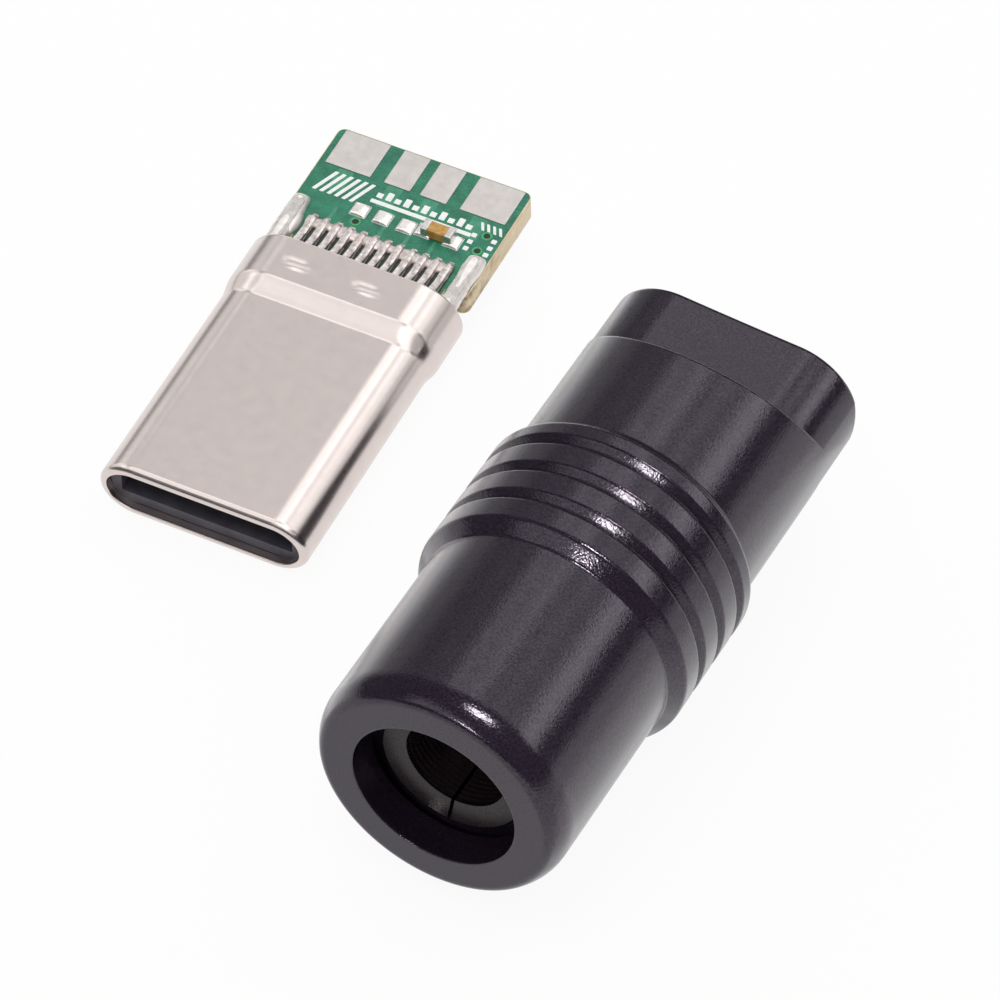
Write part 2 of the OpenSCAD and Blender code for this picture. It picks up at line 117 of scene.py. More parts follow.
@dataclass(frozen=True)
class Place:
    """Where a sub-assembly lies: turned about x, y and z in that order, then moved."""

    name: str
    origin: Point
    turn: Point

    def matrix(self) -> Array:
        """The turn as a matrix, the product of the three plain rotations.

        Returns:
            Three rows of three.
        """
        (ca, cb, cc), (sa, sb, sc) = np.cos(np.radians(self.turn)), np.sin(np.radians(self.turn))
        about_x = np.array([[1, 0, 0], [0, ca, -sa], [0, sa, ca]])
        about_y = np.array([[cb, 0, sb], [0, 1, 0], [-sb, 0, cb]])
        about_z = np.array([[cc, -sc, 0], [sc, cc, 0], [0, 0, 1]])
        return about_z @ about_y @ about_x

    def lit_set(self) -> bpy.types.Collection:
        """The collection of what lies here, for lamps that light only this part of the set."""
        return bpy.data.collections.get(self.name) or bpy.data.collections.new(self.name)

    def to_row(self, points: Array) -> Array:
        """Own millimetres to metres in the row frame."""
        return (points @ self.matrix().T + np.array(self.origin)) * MM

    def coordinates(self, tree: Tree) -> Socket:
        """Object coordinates turned back into the sub-assembly's own millimetres.

        Args:
            tree: the material's node tree.

        Returns:
            The output that gives them.
        """
        where = add(tree, "ShaderNodeTexCoord")
        sockets = {
            "Vector": where.outputs["Object"],
            "Location": [c * MM for c in self.origin],
            "Rotation": [math.radians(a) for a in self.turn],
            "Scale": (MM, MM, MM),
        }
        return add(tree, "ShaderNodeMapping", sockets, vector_type="TEXTURE").outputs["Vector"]


PLUG_PLACE = Place("plug_set", (-7.590404, -4.306110, 1.191290), (1.87947, 0.0, 2.2))
HOUSING_PLACE = Place("housing_set", (7.149596, -14.296110, 5.15), (0.0, 3.2, 0.0))
RING_PLACE = Place("ring_set", HOUSING_PLACE.origin, HOUSING_PLACE.turn)


class Lay(Enum):
    """Which way a surface's fine grain runs, as the stretch of its pattern along x, y and z."""

    EVEN = (1.0, 1.0, 1.0)
    ALONG = (1.0, 0.12, 1.0)
    ACROSS = (0.1, 1.0, 1.0)


@dataclass(frozen=True)
class Finish:
    """A surface: two colours in soft blotches, and a fine grain that sets its gloss and its bump.

    Sizes are in millimetres. The grain's height is the depth of its bump.
    """

    name: str
    slot: str
    pale: str
    deep: str
    blotch: float
    metallic: float
    rough: Pair
    grain: float
    height: float
    ior: float = 1.5
    lay: Lay = Lay.EVEN
    sheen_tint: str = "#ffffff"
    grain_detail: float = 2.0

    def material(self, place: Place) -> bpy.types.Material:
        """Makes the material for a sub-assembly.

        Args:
            place: where the sub-assembly lies, so that patterns follow its own axes.

        Returns:
            The new material.
        """
        made = bpy.data.materials.new(self.name)
        made.use_nodes = True
        tree = made.node_tree
        tree.nodes.clear()
        own = place.coordinates(tree)
        gloss = {"Metallic": self.metallic, "IOR": self.ior, "Specular Tint": linear(self.sheen_tint)}
        skin = add(tree, "ShaderNodeBsdfPrincipled", gloss)
        self.dress(tree, own, skin)
        add(tree, "ShaderNodeOutputMaterial", {"Surface": skin.outputs["BSDF"]})
        made.diffuse_color = linear(self.pale)
        return made

    def dress(self, tree: Tree, own: Socket, skin: bpy.types.Node) -> None:
        """Links the blotches to the colour and the grain to the gloss and the bump.

        Both are noise whose spots are about their size across, the grain's squeezed along its lay.

        Args:
            tree: the material's node tree.
            own: the sub-assembly's own millimetres.
            skin: the material's shader.
        """
        clouds = add(tree, "ShaderNodeTexNoise", {"Vector": own, "Scale": 1.0 / self.blotch})
        share = add(tree, "ShaderNodeMapRange", {"Value": clouds.outputs["Fac"], **MIDDLE})
        tones = {SHARE: share.outputs["Result"], FIRST: linear(self.deep), SECOND: linear(self.pale)}
        colour = add(tree, "ShaderNodeMix", tones, data_type="RGBA")
        tree.links.new(colour.outputs[MIXED], skin.inputs["Base Color"])
        laid = add(tree, "ShaderNodeMapping", {"Vector": own, "Scale": self.lay.value}).outputs["Vector"]
        spots = {"Vector": laid, "Scale": 1.0 / self.grain, "Detail": self.grain_detail}
        grain = add(tree, "ShaderNodeTexNoise", spots).outputs["Fac"]
        smooth, coarse = self.rough
        span = {"Value": grain, **MIDDLE, "To Min": smooth, "To Max": coarse}
        gloss = add(tree, "ShaderNodeMapRange", span)
        tree.links.new(gloss.outputs["Result"], skin.inputs["Roughness"])
        bump = add(tree, "ShaderNodeBump", {"Height": grain, "Distance": self.height * MM})
        tree.links.new(bump.outputs["Normal"], skin.inputs["Normal"])


@dataclass(frozen=True)
class TurnedFinish(Finish):
    """Anodised metal off the lathe: blasted grain over the faint rings that the tool left round the axis."""

    ring_pitch: float = 0.16
    ring_height: float = 0.0006
    ring_detail: float = 3.0
    grain_detail: float = 0.0
    dull: str = "#bdb6c1"
    spark: str = "#261e2a"
    facet: float = 0.055

    def dress(self, tree: Tree, own: Socket, skin: bpy.types.Node) -> None:
        """Adds rings round the axis under the blasted grain, and facets that shine unevenly.

        The rings are noise of y alone, the facets noise of their own size.

        Args:
            tree: the material's node tree.
            own: the housing's own millimetres.
            skin: the material's shader.
        """
        super().dress(tree, own, skin)
        along = add(tree, "ShaderNodeSeparateXYZ", {"Vector": own}).outputs["Y"]
        lathe = {"W": along, "Scale": 1.0 / self.ring_pitch, "Detail": self.ring_detail}
        rings = add(tree, "ShaderNodeTexNoise", lathe, noise_dimensions="1D").outputs["Fac"]
        lower = add(tree, "ShaderNodeBump", {"Height": rings, "Distance": self.ring_height * MM})
        bump = skin.inputs["Normal"].links[0].from_node
        tree.links.new(lower.outputs["Normal"], bump.inputs["Normal"])
        blast = add(tree, "ShaderNodeTexNoise", {"Vector": own, "Scale": 1.0 / self.facet, "Detail": 0.0})
        facets = add(tree, "ShaderNodeMapRange", {"Value": blast.outputs["Fac"], **MIDDLE}).outputs["Result"]
        shine = {SHARE: facets, FIRST: linear(self.dull), SECOND: linear(self.sheen_tint)}
        tint = add(tree, "ShaderNodeMix", shine, data_type="RGBA")
        tree.links.new(tint.outputs[MIXED], skin.inputs["Specular Tint"])
        plain = skin.inputs["Base Color"].links[0].from_socket
        dye = {SHARE: facets, FIRST: plain, SECOND: linear(self.spark)}
        colour = add(tree, "ShaderNodeMix", dye, data_type="RGBA")
        tree.links.new(colour.outputs[MIXED], skin.inputs["Base Color"])


@dataclass(frozen=True)
class LayeredFinish(Finish):
    """Cut glass-epoxy: pale resin with darker layers of glass cloth through the board's thickness."""

    layer: float = 0.19
    layer_squeeze: Point = (0.12, 0.12, 1.0)
    layer_most: float = 0.55
    dust: float = 0.42
    dust_from: Pair = (0.44, 0.64)
    dust_most: float = 0.85
    scorch: str = "#a0784a"
    scorch_y: Pair = (16.4, 13.4)

    def dress(self, tree: Tree, own: Socket, skin: bpy.types.Node) -> None:
        """Adds the layers, as noise of z stretched along the cut edge, and browner patches of cutting dust.

        The dust is noise times a slope along y, so that it fades towards the board's rear.

        Args:
            tree: the material's node tree.
            own: the plug's own millimetres.
            skin: the material's shader.
        """
        super().dress(tree, own, skin)
        flat = add(tree, "ShaderNodeMapping", {"Vector": own, "Scale": self.layer_squeeze}).outputs["Vector"]
        cloth = add(tree, "ShaderNodeTexNoise", {"Vector": flat, "Scale": 1.0 / self.layer, "Detail": 1.0})
        span = {"Value": cloth.outputs["Fac"], **MIDDLE, "To Max": self.layer_most}
        layers = add(tree, "ShaderNodeMapRange", span)
        plain = skin.inputs["Base Color"].links[0].from_socket
        resin = {SHARE: layers.outputs["Result"], FIRST: plain, SECOND: linear(self.deep)}
        layered = add(tree, "ShaderNodeMix", resin, data_type="RGBA").outputs[MIXED]
        spots = add(tree, "ShaderNodeTexNoise", {"Vector": own, "Scale": 1.0 / self.dust, "Detail": 3.0})
        low, high = self.dust_from
        span = {"Value": spots.outputs["Fac"], "From Min": low, "From Max": high, "To Max": self.dust_most}
        dust = add(tree, "ShaderNodeMapRange", span).outputs["Result"]
        along = add(tree, "ShaderNodeSeparateXYZ", {"Vector": own}).outputs["Y"]
        clean, burnt = self.scorch_y
        slope = add(tree, "ShaderNodeMapRange", {"Value": along, "From Min": clean, "From Max": burnt})
        factors = {0: dust, 1: slope.outputs["Result"]}
        share = add(tree, "ShaderNodeMath", factors, operation="MULTIPLY").outputs[0]
        brown = {SHARE: share, FIRST: layered, SECOND: linear(self.scorch)}
        colour = add(tree, "ShaderNodeMix", brown, data_type="RGBA")
        tree.links.new(colour.outputs[MIXED], skin.inputs["Base Color"])


# Deep-drawn stainless steel under dull nickel plate: warm silver, satin, with a fine even mottle.
SHELL_STEEL = Finish(
    "drawn_steel_dull_nickel", "shell_steel", "#dfd3cf", "#dacfcb", 0.6, 1.0, (0.2, 0.25), 0.08, 0.0004
)
# Moulded glass-filled nylon: black, low sheen, a fine pebble from the mould; drawn mid-grey as painted fill
# light, so the band inside the mouth looks lit.
LINER_PLASTIC = Finish(
    "moulded_black_nylon_painted_lit", "liner_plastic", "#605e68", "#504e57", 0.6, 0.0, (0.36, 0.5), 0.06, 0.0012
)
# Moulded liquid-crystal polymer: black with a slight flow mottle.
CARRIER_PLASTIC = Finish(
    "moulded_black_polymer", "carrier_plastic", "#232224", "#171618", 0.4, 0.0, (0.4, 0.5), 0.06, 0.001
)
# Copper alloy strip under matt tin: silver streaks along the strip where it was rolled.
CONTACT_METAL = Finish(
    "rolled_copper_alloy_matt_tin", "contact_metal", "#e6dfdb", "#b9afac", 0.18, 1.0, (0.2, 0.38), 0.05,
    0.0015, lay=Lay.ALONG,
)
# Stamped stainless strip: bright, rolled, a little streaky.
LATCH_STEEL = Finish(
    "stamped_spring_steel", "latch_steel", "#e0dcd8", "#c6c0bc", 0.3, 1.0, (0.24, 0.36), 0.05, 0.001,
    lay=Lay.ALONG,
)
# Thin spring strip: the same rolled steel, brighter from its thin gauge.
SPRING_STEEL = Finish(
    "rolled_spring_strip", "spring_steel", "#dcd8d4", "#c2bcb8", 0.3, 1.0, (0.24, 0.34), 0.05, 0.001,
    lay=Lay.ACROSS,
)
# Glass-epoxy laminate, sawn: cream resin edge with tan glass layers.
BOARD_LAMINATE = LayeredFinish(
    "sawn_glass_epoxy", "board_mask", "#fff1d8", "#f1d9b0", 0.35, 0.0, (0.55, 0.75), 0.07, 0.004
)
# Cured green solder mask: glossy green lacquer, the cloth weave faintly printing through.
BOARD_MASK = Finish(
    "cured_green_solder_mask", "board_mask", "#2f8a6b", "#256f57", 0.45, 0.0, (0.2, 0.32), 0.12, 0.002
)
# The same lacquer over copper tracks: paler, because the copper shines back through it.
TRACK_MASK = Finish(
    "solder_mask_over_copper", "board_mask", "#4c9f80", "#3c8a6c", 0.3, 0.0, (0.2, 0.3), 0.1, 0.0015
)
# The same lacquer over the raised copper round a hole: thin there, so brighter and yellower.
VIA_MASK = Finish(
    "solder_mask_over_via", "board_mask", "#4fb877", "#3a9d62", 0.2, 0.0, (0.2, 0.3), 0.08, 0.0015
)
# The same lacquer darkened as painted shade: dull, dark green between the soldered tails, where their arches
# shade the board.
PAINTED_SHADE_MASK = Finish(
    "solder_mask_painted_shade", "board_mask", "#33483d", "#211f1c", 0.2, 0.0, (0.3, 0.5), 0.08, 0.003
)
# Hot-air levelled tin on copper: dull silver with soft clouds.
PAD_TIN = Finish(
    "levelled_tin_on_copper", "tinned_copper", "#d9d3d0", "#ccc6c3", 0.35, 1.0, (0.34, 0.48), 0.08, 0.0012
)
# Reflowed solder: bright, wet-looking, slightly frosted.
SOLDER = Finish(
    "reflowed_solder", "tinned_copper", "#faf6f3", "#e8e1de", 0.25, 1.0, (0.24, 0.36), 0.1, 0.0012
)
# Solder drawn along the tails with an iron: duller and pinker than the reflowed drops, flux still in it.
TAIL_SOLDER = Finish(
    "drawn_tail_solder", "tinned_copper", "#e2d6d2", "#bfb2ae", 0.16, 1.0, (0.3, 0.46), 0.1, 0.002
)
# Solder that ran down the ground legs: a smooth, pale, slightly frosted bar.
LEG_SOLDER = Finish(
    "flowed_leg_solder", "tinned_copper", "#fdf9f7", "#ece4e1", 0.3, 1.0, (0.5, 0.62), 0.12, 0.002
)
# Legend ink, screen printed: flat white, a little thin at its edges.
LEGEND_INK = Finish(
    "screened_white_legend", "board_mask", "#ffffff", "#f2f7f4", 0.15, 0.0, (0.5, 0.62), 0.06, 0.002
)
# Fired barium titanate: matt tan ceramic with a fine speckle.
CHIP_CERAMIC = Finish(
    "fired_tan_ceramic", "chip_ceramic", "#d9a95f", "#b98945", 0.2, 0.0, (0.45, 0.6), 0.05, 0.002
)
# Plated capacitor ends: barrel-plated tin, soft silver.
CAP_TIN = Finish(
    "barrel_plated_tin", "tinned_caps", "#e8e4e0", "#cdc7c3", 0.15, 1.0, (0.25, 0.4), 0.06, 0.002
)
# Turned aluminium, bead blasted and dyed black: soft plum-black sheen with sparkling grain.
# The grain is drawn about twice as coarse as the real blast so that it shows at this size.
BARREL_ANODISED = TurnedFinish(
    "blasted_black_anodised_aluminium", "anodised_aluminium", "#1b151f", "#151019", 0.8, 0.0, (0.1, 0.2),
    0.055, 0.0052, ior=1.62, sheen_tint="#fbf0fd",
)
# Moulded acetal: dark brown-grey, faintly glossy on the ring's teeth.
RING_PLASTIC = Finish(
    "moulded_dark_acetal", "ring_plastic", "#2c2123", "#21191b", 0.5, 0.0, (0.24, 0.36), 0.07, 0.0012
)


@dataclass
class Skin:
    """Points and four-sided faces of a surface, in own millimetres."""

    points: Array
    quads: Array

    @staticmethod
    def joined(parts: Sequence["Skin"]) -> "Skin":
        """Several skins as one, their faces renumbered.

        Args:
            parts: the skins.

        Returns:
            The one skin.
        """
        starts = np.cumsum([0] + [len(p.points) for p in parts[:-1]])
        quads = [p.quads + s for p, s in zip(parts, starts)]
        return Skin(np.concatenate([p.points for p in parts]), np.concatenate(quads))

    def under(self) -> "Skin":
        """The same skin mirrored in z, for a board's underside."""
        return Skin(self.points * np.array([1, 1, -1]), self.quads)


def weave(rings: Array, looped: bool = False) -> Skin:
    """Joins closed rings of points into a skin.

    Each face joins two neighbours of one ring to the same two of the next. A tube's ends close on the
    middle of their rings, and a looped skin joins its last ring to its first.

    Args:
        rings: points as rings, points along a ring, and x, y, z.
        looped: whether the rings themselves close on each other.

    Returns:
        The skin.
    """
    if not looped:
        middles = rings[[0, -1]].mean(axis=1, keepdims=True)
        ends = np.repeat(middles, rings.shape[1], axis=1)
        rings = np.concatenate([ends[:1], rings, ends[1:]])
    count, around = rings.shape[:2]
    index = np.arange(count * around).reshape(count, around)
    index = np.vstack([index, index[:1]]) if looped else index
    here, there = index[:-1], index[1:]
    quads = np.stack([here, np.roll(here, -1, 1), np.roll(there, -1, 1), there], axis=-1)
    return Skin(rings.reshape(-1, 3), quads.reshape(-1, 4))


def rounded_box_outline(centre: Pair, size: Pair, radius: float, steps: int = 5) -> Array:
    """A rectangle's outline with round corners, anticlockwise.

    Each corner is a quarter turn of the radius about a centre set in by that radius.

    Args:
        centre: middle of the rectangle.
        size: full width and height.
        radius: corner radius.
        steps: points on a corner.

    Returns:
        Points as rows of two.
    """
    turn = np.linspace(0.0, np.pi / 2, steps)
    start = np.arange(4)[:, None] * np.pi / 2
    arcs = np.stack([np.cos(start + turn), np.sin(start + turn)], axis=-1) * radius
    signs = np.array([[1, 1], [-1, 1], [-1, -1], [1, -1]], float)
    corners = signs * (np.array(size) / 2 - radius)
    return (arcs + corners[:, None]).reshape(-1, 2) + np.array(centre)


def set_in(outline: Array, depth: Array) -> Array:
    """Moves a closed anticlockwise outline inwards.

    Each point moves along the sum of the inward normals of its two sides, over one plus their product,
    so that both sides end up the same depth in.

    Args:
        outline: points as rows of two.
        depth: one depth for each copy.

    Returns:
        Copies, points and x, y.
    """
    side = np.roll(outline, -1, 0) - outline
    side = side / np.linalg.norm(side, axis=1, keepdims=True)
    inward = np.stack([-side[:, 1], side[:, 0]], axis=-1)
    before = np.roll(inward, 1, 0)
    mitre = (inward + before) / (1.0 + np.sum(inward * before, axis=1, keepdims=True))
    return outline + np.asarray(depth)[:, None, None] * mitre


def slab(outline: Array, low: float, high: float, edge: float, dome: float = 0.0) -> Skin:
    """A flat body over an outline, its top edge rounded and its top swelled.

    The wall rises straight, turns in over a quarter circle of the edge radius, and the top then rises by
    dome times one minus the square of the distance from the middle, as a share of the outline.

    Args:
        outline: anticlockwise points as rows of two.
        low: height of the foot.
        high: height of the top's rim.
        edge: radius of the rounded edge.
        dome: how far the middle stands above the rim.

    Returns:
        The closed skin.
    """
    turn = np.linspace(0.0, np.pi / 2, EDGE_POINTS)
    depth = np.concatenate([[0.0, 0.0], edge * (1 - np.cos(turn)), [edge + FLAT_FROM]])
    wall = [low, high - edge - min(FLAT_FROM, (high - low - edge) / 2)]
    height = np.concatenate([wall, high - edge + edge * np.sin(turn), [high]])
    walls = set_in(outline, depth)
    middle = outline.mean(axis=0)
    share = np.linspace(1.0, 0.0, CROWN_POINTS)[1:-1]
    crown = middle + share[:, None, None] * (walls[-1] - middle)
    flat = np.concatenate([walls, crown])
    tall = np.concatenate([height, high + dome * (1 - share**2)])
    rings = np.concatenate([flat, np.broadcast_to(tall[:, None, None], flat.shape[:2] + (1,))], axis=-1)
    skin = weave(rings)
    skin.points[-rings.shape[1] :, 2] = high + dome
    return skin


def strip(path: Array, across: float, width: float, thick: float, edge: float) -> Skin:
    """A flat strip bent in the y-z plane.

    A rounded-rectangle section is carried along the path, its thickness along the path's normal.

    Args:
        path: y and z of the strip's middle, as rows of two.
        across: x of the strip's middle.
        width: size along x.
        thick: size along the normal.
        edge: corner radius of the section.

    Returns:
        The closed skin.
    """
    section = rounded_box_outline((0.0, 0.0), (width, thick), edge, 3)
    heading = np.gradient(path, axis=0)
    heading = heading / np.linalg.norm(heading, axis=1, keepdims=True)
    normal = np.stack([-heading[:, 1], heading[:, 0]], axis=-1)
    flat = path[:, None, :] + section[None, :, 1:2] * normal[:, None, :]
    x = np.broadcast_to(across + section[None, :, :1], flat.shape[:2] + (1,))
    return weave(np.concatenate([x, flat], axis=-1))


def eased(knots: Array, count: int, softness: float) -> Array:
    """A smooth line through the neighbourhood of some knots.

    The knots are joined by straight parts, sampled evenly along their length, and then averaged with a
    bell-shaped window of the given width, so that each bend becomes a soft curve.

    Args:
        knots: points as rows of two.
        count: how many points come back.
        softness: width of the window, in millimetres.

    Returns:
        The line's points.
    """
    run = np.concatenate([[0.0], np.cumsum(np.linalg.norm(np.diff(knots, axis=0), axis=1))])
    at = np.linspace(0.0, run[-1], count)
    line = np.stack([np.interp(at, run, knots[:, i]) for i in (0, 1)], axis=-1)
    step = at[1] - at[0]
    reach = int(np.ceil(WINDOW_REACH * softness / step))
    window = np.exp(-0.5 * (np.arange(-reach, reach + 1) * step / softness) ** 2)
    window = window / window.sum()
    before = 2 * line[:1] - line[reach:0:-1]
    after = 2 * line[-1:] - line[-2 : -reach - 2 : -1]
    padded = np.concatenate([before, line, after])
    return np.stack([np.convolve(padded[:, i], window, mode="valid") for i in (0, 1)], axis=-1)


def mound(across: float, along: Array, half: Array, crest: Array, base: float, power: float = 0.6) -> Skin:
    """A ridge of solder that runs along y on a flat pad.

    At each place along y its section is crest times (1 - u squared) to a power, over u from -1 to 1.

    Args:
        across: x of the ridge.
        along: the places along y.
        half: half width at each place.
        crest: height at each place.
        base: height of the pad.
        power: how square the section's shoulders are.

    Returns:
        The closed skin.
    """
    u = np.sin(np.linspace(-np.pi / 2, np.pi / 2, MOUND_POINTS))
    top = np.maximum(1.0 - u**2, 0.0) ** power
    x = across + half[:, None] * u[None, ::-1]
    z = base + crest[:, None] * top[None, :]
    y = np.broadcast_to(along[:, None], x.shape)
    upper = np.stack([x, y, z], axis=-1)
    lower = np.stack([x[:, ::-1], y, np.full_like(x, base - MOUND_SINK)], axis=-1)[:, 1:-1]
    return weave(np.concatenate([upper, lower], axis=1))


@dataclass(frozen=True)
class Stray:
    """How a line strays: the seed of its phases, the length of its longest wave, and how far it goes."""

    seed: int
    size: float
    depth: float

    def line(self, value: Array, more: int = 0) -> Array:
        """A smooth uneven line: the sum of four sine waves of falling length and height, with seeded phases.

        Args:
            value: the places.
            more: what is added to the seed, for one of several lines.

        Returns:
            The line's height at each place.
        """
        phase = np.random.default_rng(self.seed + more).uniform(0.0, 2 * np.pi, 4)
        step = np.arange(1, 5)
        waves = np.sin(np.asarray(value)[..., None] * 2 * np.pi * step / self.size + phase) / step
        return self.depth * waves.sum(axis=-1) / 2.0


@dataclass
class SubAssembly:
    """A group of pieces in one place, which shares its materials."""

    place: Place
    materials: dict[str, bpy.types.Material] = field(default_factory=dict)

    def material(self, finish: Finish) -> bpy.types.Material:
        """The finish's material in this place, made once.

        Args:
            finish: the finish.

        Returns:
            Its material.
        """
        if finish.name not in self.materials:
            self.materials[finish.name] = finish.material(self.place)
        return self.materials[finish.name]

    def put(self, name: str, skin: Skin, finish: Finish, *stands_for: str) -> None:
        """Makes a mesh object of a skin and hands it to the frame.

        Args:
            name: the piece's name.
            skin: its surface in own millimetres.
            finish: its finish.
            stands_for: CAD nodes that it replaces.
        """
        mesh = bpy.data.meshes.new(name)
        points = self.place.to_row(skin.points)
        mesh.vertices.add(len(points))
        mesh.vertices.foreach_set("co", points.astype(np.float32).ravel())
        mesh.loops.add(skin.quads.size)
        mesh.loops.foreach_set("vertex_index", skin.quads.astype(np.int32).ravel())
        mesh.polygons.add(len(skin.quads))
        mesh.polygons.foreach_set("loop_start", np.arange(0, skin.quads.size, 4, dtype=np.int32))
        mesh.update(calc_edges=True)
        work = bmesh.new()
        work.from_mesh(mesh)
        bmesh.ops.remove_doubles(work, verts=work.verts, dist=MERGE_WITHIN)
        bmesh.ops.recalc_face_normals(work, faces=work.faces)
        work.to_mesh(mesh)
        work.free()
        mesh.polygons.foreach_set("use_smooth", np.ones(len(mesh.polygons), bool))
        mesh.set_sharp_from_angle(angle=math.radians(SHARP_ANGLE))
        mesh.materials.append(self.material(finish))
        made = bpy.data.objects.new(name, mesh)
        bpy.context.scene.collection.objects.link(made)
        self.place.lit_set().objects.link(made)
        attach(made, BODY)
        if stands_for:
            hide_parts(*stands_for)
        LOG.info("%s: %d faces", name, len(mesh.polygons))

    def dress_node(self, node: str, finish: Finish) -> None:
        """Gives a CAD node that stays as it is this sub-assembly's material.

        Args:
            node: the node's name.
            finish: its finish.
        """
        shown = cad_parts[node]
        shown.data.materials.clear()
        shown.data.materials.append(self.material(finish))
        self.place.lit_set().objects.link(shown)
        LOG.info("%s: CAD node dressed as %s", node, finish.name)


@dataclass
class PlugShell(SubAssembly):
    """The drawn steel shell: an obround tube with a rolled lip and an S-shaped step to its rear section."""

    width: float = 8.25
    height: float = 2.4
    wall: float = 0.32
    front: float = 9.25
    step: float = 0.9
    rear_width: float = 8.5
    rear_height: float = 3.05
    length: float = 12.05
    lip: float = 0.25
    inner_lip: float = 0.04
    edge: float = 0.06
    rest: float = 0.05
    rear_rest: float = 0.04
    spread: float = 0.2
    outermost: float = 0.01
    level: float = 0.999
    stamps: tuple[Pair, ...] = ((-1.87, 11.0), (0.93, 11.0))
    stamp_half: Pair = (0.5, 0.18)
    stamp_depth: float = 0.026
    lip_at: Pair = (0.1, -0.2)
    lip_half: Pair = (0.42, 0.12)
    lip_rise: float = 0.032

    def grown(self, y: Array) -> Array:
        """How far the step has grown at y: 3 t squared less 2 t cubed over its length."""
        t = np.clip((y - self.front) / self.step, 0.0, 1.0)
        return t * t * (3.0 - 2.0 * t)

    def profile(self) -> tuple[Array, Array]:
        """The wall's section as a closed line.

        Outside from the rear to the lip, a quarter circle round the lip, a smaller one at its inner edge,
        back along the inside, and two small roundings at the rear edge. Straight runs start a little
        beside each bend.

        Returns:
            y along the plug and depth below the outer skin, for each point.
        """
        turn = np.linspace(0.0, np.pi / 2, 9)
        small = np.linspace(0.0, np.pi / 2, 4)
        inner = small[1:]
        step = np.linspace(self.front, self.front + self.step, 25)
        tail = self.length - 1.5 * self.edge
        runs = (
            (self.length - self.edge * (1 - np.sin(small))[::-1], self.edge * (1 - np.cos(small))[::-1]),
            (np.linspace(tail, step[-1] + self.rear_rest, 44), 0.0),
            (step[::-1], 0.0),
            (np.linspace(self.front - self.rest, self.lip + self.rest, 12), 0.0),
            (self.lip * (1 - np.sin(turn)), self.lip * (1 - np.cos(turn))),
            (self.inner_lip * (1 - np.cos(inner)), self.wall - self.inner_lip * (1 - np.sin(inner))),
            (np.linspace(2 * self.rest, self.front - self.rest, 8), self.wall),
            (step[::2], self.wall),
            (np.linspace(step[-1] + self.rest, tail, 6), self.wall),
            (self.length - self.edge * (1 - np.sin(small)), self.wall - self.edge * (1 - np.cos(small))),
        )
        depth = [np.broadcast_to(deep, y.shape) for y, deep in runs]
        return np.concatenate([y for y, _ in runs]), np.concatenate(depth)

    def skin(self) -> Skin:
        """Carries the wall's section round the obround.

        Round the obround the outline has two straight runs and two half ellipses, a little longer across
        than half their height, because drawn sheet bends softly. Width and height follow the step, and the
        depth below the outer skin comes off both.

        Returns:
            The closed skin, stamped marks included.
        """
        y, depth = self.profile()
        grown = self.grown(y)
        radius = (self.height + (self.rear_height - self.height) * grown) / 2 - depth
        reach = (self.width + (self.rear_width - self.width) * grown) / 2 - depth - radius
        upper = np.linspace(1.0, -1.0, 231)[1:-1]
        lower = np.linspace(-1.0, 1.0, 31)[1:-1]
        turn = np.linspace(-np.pi / 2, np.pi / 2, 57)
        ends = np.ones_like(turn)
        side = np.concatenate([ends, upper, -ends, lower])
        round_x = np.concatenate([np.cos(turn), 0 * upper, -np.cos(turn), 0 * lower])
        round_z = np.concatenate([np.sin(turn), np.ones(len(upper)), -np.sin(turn), -np.ones(len(lower))])
        x = (reach[:, None] - self.spread) * side + (radius[:, None] + self.spread) * round_x
        y = np.broadcast_to(y[:, None], x.shape)
        on_top = (depth[:, None] < self.outermost) & (round_z > self.level)
        z = radius[:, None] * round_z + self.stamped(x, y, on_top)
        return weave(np.stack([x, y, z], axis=-1), looped=True)

    def stamped(self, x: Array, y: Array, on_top: Array) -> Array:
        """Height of the two stamped marks on the rear section.

        Each is a shallow hollow, a bell of the fourth power of x and the square of y, with a low lip, a
        bell of both squares, along its front.

        Args:
            x: places across the shell.
            y: places along it.
            on_top: where the outer top is, which alone is stamped.

        Returns:
            The height at each place.
        """
        height = np.zeros_like(x)
        wide, long = self.stamp_half
        lip_wide, lip_long = self.lip_half
        for middle_x, middle_y in self.stamps:
            u, v = x - middle_x, y - middle_y
            height -= self.stamp_depth * np.exp(-((u / wide) ** 4) - (v / long) ** 2)
            lip_u, lip_v = (u - self.lip_at[0]) / lip_wide, (v - self.lip_at[1]) / lip_long
            height += self.lip_rise * np.exp(-(lip_u**2) - lip_v**2)
        return np.where(on_top, height, 0.0)

    def build(self) -> None:
        """Builds and dresses the shell."""
        self.put("drawn_shell", self.skin(), SHELL_STEEL, "plug_shell")


